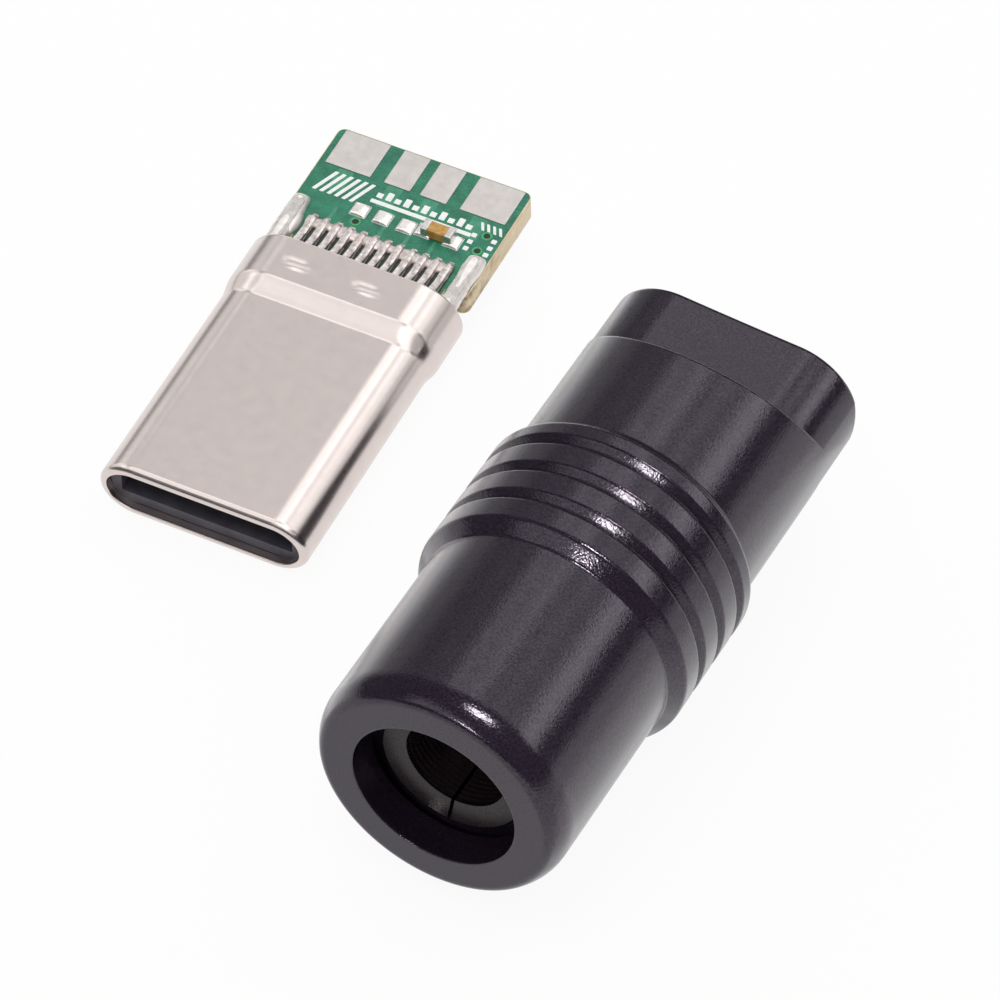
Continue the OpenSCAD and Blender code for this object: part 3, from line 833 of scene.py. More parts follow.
@dataclass
class PlugInside(SubAssembly):
    """What sits in the shell: liner, contact carriers, contacts, latch plate and ground springs."""

    pitch: float = 0.5
    count: int = 12
    width: float = 0.25
    tail_width: float = 0.3
    tail_from: float = 11.3
    tail_taper: float = 0.4
    thick: float = 0.15
    edge: float = 0.045
    bend: float = 0.06
    path: tuple[Pair, ...] = (
        (2.55, 0.555), (3.1, 0.435), (3.3, 0.415), (3.5, 0.435), (4.6, 0.575), (10.4, 0.575), (11.3, 0.77),
        (11.6, 0.8), (12.2, 0.8), (12.45, 0.76), (12.95, 0.635), (13.15, 0.615), (13.9, 0.615),
    )

    def contact(self, index: int, up: float) -> Skin:
        """One contact of a row: a strip along its bent path, wider at its tail, mirrored for the lower row.

        Args:
            index: place in the row, from 0.
            up: 1 for the upper row, -1 for the lower one.

        Returns:
            The contact's skin.
        """
        line = eased(np.array(self.path), 150, self.bend)
        skin = strip(line, 0.0, self.width, self.thick, self.edge)
        tail = np.clip((skin.points[:, 1] - self.tail_from) / self.tail_taper, 0.0, 1.0)
        skin.points[:, 0] *= 1.0 + (self.tail_width / self.width - 1.0) * tail
        skin.points[:, 0] += (index - (self.count - 1) / 2) * self.pitch
        skin.points[:, 2] *= up
        return skin

    def build(self) -> None:
        """Builds the contacts and dresses the nodes that stay."""
        for row, up in (("a", 1.0), ("b", -1.0)):
            for index in range(self.count):
                name = f"contact_{row}{index + 1:02d}"
                self.put(f"formed_{name}", self.contact(index, up), CONTACT_METAL, name)
        self.dress_node("front_insulator", LINER_PLASTIC)
        self.dress_node("upper_contact_carrier", CARRIER_PLASTIC)
        self.dress_node("lower_contact_carrier", CARRIER_PLASTIC)
        self.dress_node("latch_plate", LATCH_STEEL)
        self.dress_node("upper_ground_spring", SPRING_STEEL)
        self.dress_node("lower_ground_spring", SPRING_STEEL)


@dataclass(frozen=True)
class Hatch:
    """A printed block of slanted stripes, along x: where it starts, its spacing and count, a stripe's width.

    A stripe reaches between two y, and leans by so much of x for each y, counted from one y.
    """

    left: float
    pitch: float
    count: int
    width: float
    reach: Pair
    lean: float
    lean_from: float


@dataclass
class SolderBoard(SubAssembly):
    """The board at the plug's rear: laminate, lacquer, pads, solder, legend and one chip capacitor."""

    top: float = 0.5
    pad_top: float = 0.54
    solder_base: float = 0.535
    sink: float = 0.02
    width: float = 7.85
    front: float = 12.95
    end: float = 18.47
    corner: float = 0.3
    tongue_width: float = 6.2
    tongue_front: float = 10.6
    core_drop: float = 0.004
    core_edge: float = 0.01
    lacquer: float = 0.008
    lacquer_inset: float = 0.03
    # Corners of the painted shade under and between the arched tails.
    shade_patch: tuple[Pair, Pair] = ((-2.98, 11.8), (2.98, 13.95))
    pad_corner: float = 0.04
    pad_edge: float = 0.018
    pad_dome: float = 0.004
    wire_pads: tuple[Pair, ...] = ((-3.65, -1.82), (-1.26, -0.2), (0.2, 1.26), (1.82, 3.65))
    wire_pad_y: Pair = (16.65, 18.4)
    tails: int = 12
    tail_pitch: float = 0.5
    tail_half: float = 0.15
    tail_y: Pair = (12.6, 14.15)
    foot_x: float = 3.54
    foot_half: float = 0.29
    foot_y: Pair = (13.0, 14.7)
    part_x: tuple[float, ...] = (-1.4, -0.47, 0.48)
    part_y: float = 15.05
    part_size: float = 0.66
    pillow_inset: float = 0.02
    pillow_rise: float = 0.1
    pillow_power: float = 0.3
    rim: float = 0.004
    ridge_y: Pair = (13.1, 14.2)
    ridge_end: float = 14.12
    ridge_rise: float = 0.35
    ridge_fall: float = 0.22
    ridge_half: Pair = (0.1, 0.09)
    ridge_crest: float = 0.15
    ridge_end_stray: Stray = Stray(11, 3.0, 0.05)
    ridge_half_stray: Stray = Stray(20, 1.2, 0.03)
    ridge_crest_stray: Stray = Stray(40, 0.9, 0.04)
    band_x: float = 2.92
    band_y: float = 13.8
    band_half: float = 0.25
    band_crest: float = 0.115
    band_half_stray: Stray = Stray(61, 1.3, 0.07)
    band_crest_stray: Stray = Stray(62, 0.9, 0.04)
    leg_y: Pair = (12.1, 14.8)
    leg_rise: float = 0.12
    leg_fall: float = 0.35
    leg_half: float = 0.36
    leg_least: float = 0.6
    leg_crest: float = 0.3
    leg_power: float = 0.36
    leg_half_stray: Stray = Stray(70, 2.4, 0.04)
    leg_crest_stray: Stray = Stray(80, 2.4, 0.03)
    leg_rim: float = 0.01
    drop: Pair = (-3.24, 13.4)
    drop_size: Point = (0.2, 0.6, 0.27)
    drop_rim: float = 0.02
    drop_power: float = 0.5
    chip: Pair = (1.72, 15.15)
    chip_size: Point = (1.24, 0.56, 0.42)
    chip_end: float = 0.28
    chip_edge: float = 0.05
    chip_pads: tuple[Pair, Pair] = ((-0.55, 0.0), (0.6, -0.04))
    body_edge: float = 0.03
    body_lap: float = 0.04
    body_lift: float = 0.01
    print_corner: float = 0.03
    print_edge: float = 0.004
    track_lift: float = 0.014
    legend_lift: float = 0.018
    wire_track_half: float = 0.3
    wire_track_y: Pair = (15.5, 16.6)
    wire_track_corner: float = 0.05
    tail_track_half: float = 0.07
    tail_track_y: Pair = (14.1, 14.85)
    hatches: tuple[Hatch, ...] = (
        Hatch(-3.3, 0.3, 6, 0.16, (15.3, 16.4), 0.4, 15.85),
        Hatch(2.9, 0.24, 4, 0.12, (16.08, 16.44), -0.5, 16.25),
    )
    rule: tuple[Pair, Pair] = ((-1.3, 15.6), (2.75, 15.78))
    ticks: int = 11
    tick_left: float = -1.2
    tick_pitch: float = 0.36
    tick_width: float = 0.24
    tick_y: Pair = (15.9, 16.14)
    tick_more: float = 0.16
    spot_x: Pair = (2.86, 3.66)
    spot_y: tuple[float, ...] = (15.75, 15.4, 15.05)
    spot_half: float = 0.1
    vias: tuple[Pair, ...] = ((-1.32, 14.5), (3.3, 15.9), (3.3, 15.1))
    via_clear: float = 0.3
    via_section: tuple[Pair, ...] = ((0.21, 0.0), (0.2, 0.02), (0.13, 0.02), (0.12, 0.0))
    via_hole: float = 0.125
    via_fill: float = 0.012
    via_edge: float = 0.003

    def outline(self, inset: float) -> Array:
        """The board's outline, anticlockwise: a wide part with round corners and a narrow tongue in front.

        Args:
            inset: how far the outline is set in all round.

        Returns:
            Points as rows of two.
        """
        turn = np.linspace(0.0, np.pi / 2, 7)
        ring = np.stack([np.cos(turn), np.sin(turn)], axis=-1) * self.corner
        other = ring[::-1] * np.array([-1, 1])
        side, slim = self.width / 2 - self.corner, self.tongue_width / 2
        rear, nose = self.end - self.corner, self.front + self.corner
        stem = np.array([
            [-slim, self.front], [-slim, self.tongue_front], [slim, self.tongue_front], [slim, self.front],
        ])
        wide = [ring + np.array([side, rear]), other + np.array([-side, rear])]
        front = [-ring + np.array([-side, nose]), stem, -other + np.array([side, nose])]
        return set_in(np.concatenate(wide + front), np.array([inset]))[0]

    def patch(self, low: Pair, high: Pair, radius: float) -> Array:
        """Outline of a rectangle with round corners, between its lowest and its highest corner."""
        middle = ((low[0] + high[0]) / 2, (low[1] + high[1]) / 2)
        return rounded_box_outline(middle, (high[0] - low[0], high[1] - low[1]), radius, 4)

    def pad(self, low: Pair, high: Pair) -> Skin:
        """A tinned pad on the top, between its lowest and its highest corner."""
        outline = self.patch(low, high, self.pad_corner)
        return slab(outline, self.top - self.sink, self.pad_top, self.pad_edge, self.pad_dome)

    def bar(self, low: Pair, high: Pair, radius: float, lift: float) -> Skin:
        """A thin printed or raised bar on the top, between its lowest and its highest corner."""
        return slab(self.patch(low, high, radius), self.top - self.sink, self.top + lift, self.print_edge)

    def mark(self, low: Pair, high: Pair) -> Skin:
        """A printed legend bar between its lowest and its highest corner."""
        return self.bar(low, high, self.print_corner, self.legend_lift)

    def contact_x(self) -> Array:
        """x of the tails."""
        return (np.arange(self.tails) - (self.tails - 1) / 2) * self.tail_pitch

    def build_laminate(self) -> None:
        """The sawn laminate with a sheet of lacquer and a patch of painted shade between the tails on each
        side.
        """
        core = slab(self.outline(0.0), -self.top + self.sink, self.top - self.core_drop, self.core_edge)
        self.put("laminate_core", core, BOARD_LAMINATE, "circuit_board")
        low, high = self.top - self.lacquer_inset, self.top + self.lacquer
        sheet = slab(self.outline(self.lacquer_inset), low, high, self.lacquer)
        self.put("lacquer_sheets", Skin.joined([sheet, sheet.under()]), BOARD_MASK)
        # Painted shade: a dull dark green patch where the arched tails shade the board.
        shade_patch = self.bar(*self.shade_patch, self.wire_track_corner, self.track_lift)
        self.put("painted_shade_between_tails", Skin.joined([shade_patch, shade_patch.under()]), PAINTED_SHADE_MASK)

    def build_pads(self) -> None:
        """Wire pads, pads of the tails and feet, and the small part pads with their solder."""
        low, high = self.wire_pad_y
        wires = [self.pad((a, low), (b, high)) for a, b in self.wire_pads]
        self.put("levelled_wire_pads", Skin.joined(wires), PAD_TIN, "wire_pads")
        low, high = self.tail_y
        tails = [self.pad((x - self.tail_half, low), (x + self.tail_half, high)) for x in self.contact_x()]
        tails += [pad.under() for pad in tails]
        low, high = self.foot_y
        for x in (-self.foot_x, self.foot_x):
            tails.append(self.pad((x - self.foot_half, low), (x + self.foot_half, high)))
        self.put("levelled_tail_pads", Skin.joined(tails), PAD_TIN, "tail_pads")
        half = self.part_size / 2
        spots = [(x, self.part_y) for x in self.part_x]
        spots += [(self.chip[0] + x, self.chip[1] + y) for x, y in self.chip_pads]
        parts = [self.pad((x - half, y - half), (x + half, y + half)) for x, y in spots]
        parts += [self.pillow(x, y, half - self.pillow_inset) for x, y in spots]
        self.put("levelled_part_pads", Skin.joined(parts), SOLDER, "part_pads")

    def pillow(self, x: float, y: float, half: float) -> Skin:
        """Solder that stands on a square pad: a ridge whose crest falls with a sixth power to both ends.

        Args:
            x: middle across.
            y: middle along.
            half: half its size.

        Returns:
            The closed skin.
        """
        along = np.sin(np.linspace(-np.pi / 2, np.pi / 2, 17))
        crest = self.rim + self.pillow_rise * np.sqrt(np.clip(1 - along**6, 0.0, 1.0))
        wide = np.full_like(along, half)
        return mound(x, y + half * along, wide, crest, self.solder_base, self.pillow_power)

    def build_tail_solder(self) -> None:
        """Solder over the tails' ends, and the band across them where it ran together.

        Each ridge rises over its start and falls over its end as a quarter circle does, and its width and
        height stray a little.
        """
        y = np.linspace(*self.ridge_y, 44)
        rise = np.clip((y - self.ridge_y[0]) / self.ridge_rise, 0.0, 1.0)
        least, more = self.ridge_half
        ridges = []
        for index, x in enumerate(self.contact_x()):
            end = self.ridge_end + self.ridge_end_stray.line(x)
            fall = np.clip((end - y) / self.ridge_fall, 0.0, 1.0)
            shape = np.sqrt(rise * (2 - rise)) * np.sqrt(fall * (2 - fall))
            half = least + more * shape + self.ridge_half_stray.line(y, index) * shape
            crest = self.rim + (self.ridge_crest + self.ridge_crest_stray.line(y, index)) * shape
            ridges.append(mound(x, y, half, crest, self.solder_base))
        across = np.linspace(-self.band_x, self.band_x, 200)
        half = self.band_half + self.band_half_stray.line(across)
        crest = self.band_crest + self.band_crest_stray.line(across)
        band = mound(self.band_y, across, half, crest, self.solder_base)
        ridges.append(Skin(band.points[:, [1, 0, 2]], band.quads))
        ridges += [ridge.under() for ridge in ridges]
        self.put("tail_solder", Skin.joined(ridges), TAIL_SOLDER)

    def build_leg_solder(self) -> None:
        """Solder down both ground legs, and one stray drop.

        The solder swells from its ends as a quarter circle does, from its least share of the full width.
        """
        along = np.linspace(*self.leg_y, 72)
        rise = np.clip((along - self.leg_y[0]) / self.leg_rise, 0, 1)
        ends = rise * np.clip((self.leg_y[1] - along) / self.leg_fall, 0, 1)
        swell = np.sqrt(np.clip(ends * (2 - ends), 0, 1))
        legs = []
        for side in (-1, 1):
            share = self.leg_least + (1 - self.leg_least) * swell
            half = (self.leg_half + self.leg_half_stray.line(along, side)) * share
            crest = self.leg_rim + (self.leg_crest + self.leg_crest_stray.line(along, side)) * swell
            legs.append(mound(side * self.foot_x, along, half, crest, self.solder_base, self.leg_power))
        along = np.linspace(-1.0, 1.0, 21)
        bulge = np.sqrt(np.clip(1 - along**2, 0, 1))
        wide, long, tall = self.drop_size
        half, crest = self.drop_rim + wide * bulge, self.leg_rim + tall * bulge
        x, y = self.drop
        legs.append(mound(x, y + long * along, half, crest, self.pad_top, self.drop_power))
        self.put("ground_foot_solder", Skin.joined(legs), LEG_SOLDER)

    def build_chip(self) -> None:
        """The chip capacitor: a ceramic body between two plated ends."""
        x, y = self.chip
        long, wide, tall = self.chip_size
        low, high, edge = self.pad_top, self.pad_top + tall, self.body_edge
        between = long - 2 * self.chip_end + self.body_lap
        outline = rounded_box_outline((x, y), (between, wide - 2 * edge), edge)
        body = slab(outline, low + self.body_lift, high - edge, edge)
        self.put("ceramic_chip", body, CHIP_CERAMIC, "capacitor_body")
        out = (long - self.chip_end) / 2
        ends = []
        for middle in (x - out, x + out):
            outline = rounded_box_outline((middle, y), (self.chip_end, wide), self.chip_edge)
            ends.append(slab(outline, low, high, self.chip_edge))
        self.put("plated_chip_ends", Skin.joined(ends), CAP_TIN, "capacitor_caps")

    def build_tracks(self) -> None:
        """Copper tracks under the lacquer: a wide one to each wire pad, a thin one at every other tail."""
        tracks = []
        low, high = self.wire_track_y
        half, corner = self.wire_track_half, self.wire_track_corner
        for x in [(a + b) / 2 for a, b in self.wire_pads]:
            tracks.append(self.bar((x - half, low), (x + half, high), corner, self.track_lift))
        low, high = self.tail_track_y
        half, corner = self.tail_track_half, self.print_corner
        for x in self.contact_x()[1:-1:2]:
            if all(abs(x - via_x) > self.via_clear for via_x, _ in self.vias):
                tracks.append(self.bar((x - half, low), (x + half, high), corner, self.track_lift))
        self.put("lacquered_tracks", Skin.joined(tracks), TRACK_MASK)

    def build_legend(self) -> None:
        """Plain legend marks: two hatched blocks, a ruled line, tick blocks and squares."""
        marks = [self.mark(*self.rule)]
        for hatch in self.hatches:
            low, high = hatch.reach
            for left in hatch.left + hatch.pitch * np.arange(hatch.count):
                stripe = self.mark((left, low), (left + hatch.width, high))
                stripe.points[:, 0] += hatch.lean * (stripe.points[:, 1] - hatch.lean_from)
                marks.append(stripe)
        low, high = self.tick_y
        for index in range(self.ticks):
            left = self.tick_left + self.tick_pitch * index
            end = high + self.tick_more * (index % 2)
            marks.append(self.mark((left, low), (left + self.tick_width, end)))
        half = self.spot_half
        spots = [(x, y) for x in self.spot_x for y in self.spot_y]
        marks += [self.mark((x - half, y - half), (x + half, y + half)) for x, y in spots]
        self.put("legend_marks", Skin.joined(marks), LEGEND_INK)

    def build_vias(self) -> None:
        """Plated through holes: a section carried round each as a lacquered ring, and a flat dark disc in
        its middle as painted shade for the hole.
        """
        turn = np.linspace(0, 2 * np.pi, 33)[:-1]
        circle = np.stack([np.cos(turn), np.sin(turn)], axis=-1)
        section = np.array(self.via_section)
        rings, holes = [], []
        for middle in np.array(self.vias):
            flat = section[:, None, :1] * circle + middle
            height = np.broadcast_to(self.top + section[:, None, 1:], flat.shape[:2] + (1,))
            rings.append(weave(np.concatenate([flat, height], axis=-1), looped=True))
            # Painted shade: each hole is a flat dark disc in the carrier's black, not an opening.
            outline = circle * self.via_hole + middle
            holes.append(slab(outline, self.top - self.sink, self.top + self.via_fill, self.via_edge))
        self.put("via_rings", Skin.joined(rings), VIA_MASK)
        self.put("via_hole_shade_discs", Skin.joined(holes), CARRIER_PLASTIC)

    def build(self) -> None:
        """Builds the board from the laminate up."""
        self.build_laminate()
        self.build_pads()
        self.build_tail_solder()
        self.build_leg_solder()
        self.build_chip()
        self.build_tracks()
        self.build_legend()
        self.build_vias()


@dataclass
class BarrelHousing(SubAssembly):
    """The turned housing: a barrel with a grooved grip band, two flats at the plug end and its stepped bore.

    Each cut is how far from a corner its rounding starts.
    """

    radius: float = 4.7
    length: float = 22.04
    edge_r: float = 1.6
    edge_len: float = 1.08
    corner_r: float = 0.36
    band_radius: float = 5.15
    band: tuple[float, ...] = (7.8, 8.3, 13.09, 13.52)
    groove_first: float = 9.47
    groove_pitch: float = 1.4
    groove_count: int = 3
    groove_half: float = 0.25
    groove_depth: float = 0.25
    flat: float = 2.52
    blend_r: float = 2.4
    blend_x: float = 2.347
    shoulder: float = 17.78
    slope: float = 0.445
    hole: Pair = (3.05, 1.3)
    relief: Pair = (3.3, 2.2)
    seat: Pair = (2.8, 4.6)
    wire_r: float = 2.6
    pocket: Point = (8.6, 3.15, 11.44)
    around: int = 420
    hole_cut: float = 0.05
    foot_cut: float = 0.07
    band_cut: float = 0.1
    groove_cut: float = 0.06
    root_cut: float = 0.05
    shoulder_cut: float = 0.1
    flat_cut: float = 0.06
    end_cut: float = 0.16
    mouth_cut: float = 0.1
    beside: float = 0.06
    rest: float = 0.03
    cut_most: float = 0.42
    rest_most: float = 0.48

    def flat_radius(self, turn: Array) -> Array:
        """Distance from the axis to the flats' outline in each direction.

        A flat is a straight line at its height, then a circle about the blend's centre, and the barrel's
        own circle wherever that is nearer.

        Args:
            turn: directions round the axis, in radians.

        Returns:
            The distance in each direction.
        """
        across, up = np.abs(np.cos(turn)), np.abs(np.sin(turn))
        centre = np.array([self.blend_x, self.flat - self.blend_r])
        reach = across * centre[0] + up * centre[1]
        inside = np.maximum(reach**2 - centre @ centre + self.blend_r**2, 0.0)
        blend = reach + np.sqrt(inside)
        straight = self.flat / np.maximum(up, NEAR_ZERO)
        bar = np.where(straight * across <= self.blend_x, straight, blend)
        high = np.arctan2(up, across) > np.arctan2(centre[1], centre[0])
        return np.where(high, np.minimum(bar, self.radius), self.radius)

    def pocket_radius(self, turn: Array) -> Array:
        """Distance from the axis to the pocket's obround wall: a straight line, then a circle at each end.

        Args:
            turn: directions round the axis, in radians.

        Returns:
            The distance in each direction.
        """
        across, up = np.abs(np.cos(turn)), np.abs(np.sin(turn))
        half_w, half_h = self.pocket[0] / 2, self.pocket[1] / 2
        centre = half_w - half_h
        straight = half_h / np.maximum(up, NEAR_ZERO)
        end = centre * across + np.sqrt(np.maximum(half_h**2 - (centre * up) ** 2, 0.0))
        return np.where(straight * across <= centre, straight, end)

    def end_rounding(self) -> Array:
        """The cable end's edge: a small circle that meets the face and a large one that meets the barrel.

        Returns:
            y and radius, as rows of two.
        """
        big = np.array([self.edge_len, self.radius - self.edge_r])
        rise = math.sqrt((self.edge_r - self.corner_r) ** 2 - (self.edge_len - self.corner_r) ** 2)
        small = np.array([self.corner_r, self.radius - self.edge_r + rise])
        away = math.atan2(small[1] - big[1], big[0] - small[0])
        first = np.linspace(0.0, away, 10)
        second = np.linspace(away, np.pi / 2, 16)[1:]
        arc_a = small + self.corner_r * np.stack([-np.cos(first), np.sin(first)], axis=-1)
        arc_b = big + self.edge_r * np.stack([-np.cos(second), np.sin(second)], axis=-1)
        return np.concatenate([arc_a, arc_b])

    def knots(self, turn: Array) -> list[tuple[Any, Any, float]]:
        """Corners of the section in each direction round the axis, as y, radius and cut.

        Args:
            turn: directions round the axis, in radians.

        Returns:
            The corners in order, from the cable hole's rim over the outside and back through the bore.
        """
        flat_r = self.flat_radius(turn)
        pocket_r = self.pocket_radius(turn)
        up = np.abs(np.sin(turn))
        edge = self.end_rounding()
        rows: list[tuple[Any, Any, float]] = [(0.0, self.hole[0], self.hole_cut)]
        rows += [(0.0, edge[0, 1] - self.beside, 0.0)]
        rows += [(y, r, 0.0) for y, r in edge]
        rows += [(self.edge_len + self.beside, self.radius, 0.0)]
        rows += [(self.band[0], self.radius, self.foot_cut), (self.band[1], self.band_radius, self.band_cut)]
        for index in range(self.groove_count):
            middle = self.groove_first + index * self.groove_pitch
            rows += [
                (middle - self.groove_half, self.band_radius, self.groove_cut),
                (middle, self.band_radius - self.groove_depth, self.root_cut),
                (middle + self.groove_half, self.band_radius, self.groove_cut),
            ]
        rows += [(self.band[2], self.band_radius, self.band_cut), (self.band[3], self.radius, self.foot_cut)]
        rows += [
            (self.shoulder + self.slope * self.radius * (1 - up), self.radius, self.shoulder_cut),
            (self.shoulder + self.slope * (self.radius - flat_r * up), flat_r, self.flat_cut),
            (self.length, flat_r, self.end_cut),
            (self.length, pocket_r, self.mouth_cut),
            (self.pocket[2], pocket_r, 0.0),
            (self.pocket[2], self.wire_r, 0.0),
            (self.seat[1], self.wire_r, 0.0),
            (self.seat[1], self.seat[0], 0.0),
            (self.relief[1], self.seat[0], 0.0),
            (self.relief[1], self.relief[0], 0.0),
            (self.hole[1], self.relief[0], 0.0),
            (self.hole[1], self.hole[0], 0.0),
        ]
        return rows

    def skin(self) -> Skin:
        """Carries the section round the axis.

        Every corner with a cut is replaced by a quadratic curve between points that far along its two sides,
        with one more point beside each end to keep the straight parts straight.

        Returns:
            The closed skin.
        """
        turn = np.linspace(0.0, 2 * np.pi, self.around + 1)[:-1]
        rows = self.knots(turn)
        wide = np.ones_like(turn)
        corner = np.array([[y * wide, r * wide] for y, r, _ in rows])
        before = np.roll(corner, 1, 0) - corner
        after = np.roll(corner, -1, 0) - corner
        long_b = np.maximum(np.linalg.norm(before, axis=1, keepdims=True), NEAR_ZERO)
        long_a = np.maximum(np.linalg.norm(after, axis=1, keepdims=True), NEAR_ZERO)
        lines = []
        for index, (_, _, cut) in enumerate(rows):
            if cut == 0.0:
                lines.append(corner[index][None])
                continue
            size = np.minimum(cut, self.cut_most * np.minimum(long_b[index], long_a[index]))
            back = before[index] / long_b[index]
            ahead = after[index] / long_a[index]
            t = np.linspace(0.0, 1.0, 5)[:, None, None]
            curve = corner[index] + size * (back * (1 - t) ** 2 + ahead * t**2)
            rest_b = corner[index] + back * np.minimum(size + self.rest, self.rest_most * long_b[index])
            rest_a = corner[index] + ahead * np.minimum(size + self.rest, self.rest_most * long_a[index])
            lines.append(np.concatenate([rest_b[None], curve, rest_a[None]]))
        line = np.concatenate(lines)
        y, r = line[:, 0], line[:, 1]
        return weave(np.stack([r * np.cos(turn), y, r * np.sin(turn)], axis=-1), looped=True)

    def build(self) -> None:
        """Builds and dresses the barrel."""
        self.put("turned_barrel", self.skin(), BARREL_ANODISED, "housing_barrel")


@dataclass
class ClampRing(SubAssembly):
    """The split ring in the cable end: a dished face and a toothed hole that grips the cable.

    A tooth is given as shares of the pitch and of its depth.
    """

    radius: float = 2.75
    face_r: float = 2.63
    face_rest: float = 0.03
    front: float = 1.34
    dish: float = 0.22
    tip_r: float = 1.87
    pitch: float = 0.21
    depth: float = 0.052
    end: float = 4.6
    slit: float = 0.13
    tooth: tuple[Pair, ...] = ((0.9, 0.0), (0.55, 1.0), (0.45, 1.0), (0.1, 0.0))
    teeth_after: float = 0.12
    teeth_before: float = 0.1

    def section(self) -> Array:
        """The ring's section, closed: face, outside, rear, and the teeth back to the face.

        A tooth falls from its tip to its root over about a third of the pitch, and climbs back as it fell.

        Returns:
            y and radius, as rows of two.
        """
        start = self.front + self.dish + self.teeth_after
        count = int((self.end - self.teeth_before - start) / self.pitch)
        along, deep = np.array(self.tooth).T
        y = start + (np.arange(count)[::-1, None] + along) * self.pitch
        teeth = np.stack([y, np.broadcast_to(self.tip_r + deep * self.depth, y.shape)], axis=-1)
        rim = self.radius - self.face_r
        outside = np.array([
            [self.front + self.dish, self.tip_r], [self.front, self.face_r - self.face_rest],
            [self.front, self.face_r], [self.front + rim, self.radius], [self.end, self.radius],
            [self.end, self.tip_r],
        ])
        return np.concatenate([outside, teeth.reshape(-1, 2)])

    def skin(self) -> Skin:
        """Carries the section round the axis from one side of the slit to the other.

        The slit has the same width all along, so the turn starts at the angle whose sine is half the slit
        over the radius, and it is spread evenly from there.

        Returns:
            The closed skin.
        """
        section = self.section()
        share = np.linspace(0.0, 1.0, 241)[:, None]
        start = np.arcsin(self.slit / 2 / section[None, :, 1])
        turn = -np.pi / 2 + start + share * (2 * np.pi - 2 * start)
        radius = np.broadcast_to(section[None, :, 1], turn.shape)
        y = np.broadcast_to(section[None, :, 0], turn.shape)
        return weave(np.stack([radius * np.cos(turn), y, radius * np.sin(turn)], axis=-1))

    def build(self) -> None:
        """Builds and dresses the ring."""
        self.put("toothed_ring", self.skin(), RING_PLASTIC, "cable_clamp_ring")


def hang_light(name: str, place: Place, size: Sequence[float], bright: float, at: Any, turn: Any) -> None:
    """Hangs a flat light that only one place's pieces see, out of the camera's sight.

    Its power is four times its area times its brightness, so that a mirror shows a brightness of 1 as white.

    Args:
        name: the light's name.
        place: whose pieces it lights.
        size: its two sides, in metres.
        bright: its brightness.
        at: its middle, in metres.
        turn: its turn about x, y and z, in radians.
    """
    light = bpy.data.lights.new(name, "AREA")
    light.shape = "RECTANGLE"
    light.size, light.size_y = size
    light.energy = 4.0 * light.size * light.size_y * bright
    lamp = bpy.data.objects.new(name, light)
    lamp.location = at
    lamp.rotation_euler = turn
    lamp.visible_camera = False
    lamp.light_linking.receiver_collection = place.lit_set()
    bpy.context.scene.collection.objects.link(lamp)
    LOG.info("%s: lit at %.3f", name, bright)


@dataclass(frozen=True)
class Lamp:
    """A soft box: the place that it lights, where it hangs, how much of the view it fills, how bright it is.

    Angles are degrees: azimuth from +x towards +y, height above the floor, and half the angle that the box
    fills across and up. It hangs so many metres from the set.
    """

    name: str
    place: Place
    azimuth: float
    height: float
    spread: Pair
    bright: float
    far: float = 0.6

    def hang(self) -> None:
        """Hangs the box, facing the middle of the set."""
        a, e = math.radians(self.azimuth), math.radians(self.height)
        aim = np.array([math.cos(a) * math.cos(e), math.sin(a) * math.cos(e), math.sin(e)])
        size = (2 * self.far * np.tan(np.radians(self.spread))).tolist()
        turn = Vector((-aim).tolist()).to_track_quat("-Z", "Y").to_euler()
        hang_light(self.name, self.place, size, self.bright, (aim * self.far).tolist(), turn)


@dataclass(frozen=True)
class TablePatch:
    """A lit patch of the light table under the set: the place that it lights, its corners, its brightness.

    Corners are millimetres on the floor, and brightness is what it adds to the white floor. It lies so many
    metres above the floor, because one that reaches under the plug would be hidden by it.
    """

    name: str
    place: Place
    low: Pair
    high: Pair
    bright: float
    above: float = 0.0002

    def hang(self) -> None:
        """Lays the patch flat, facing up."""
        size = [(b - a) * MM for a, b in zip(self.low, self.high)]
        middle = [(a + b) / 2 * MM for a, b in zip(self.low, self.high)]
        hang_light(self.name, self.place, size, self.bright, (*middle, self.above), (math.pi, 0.0, 0.0))


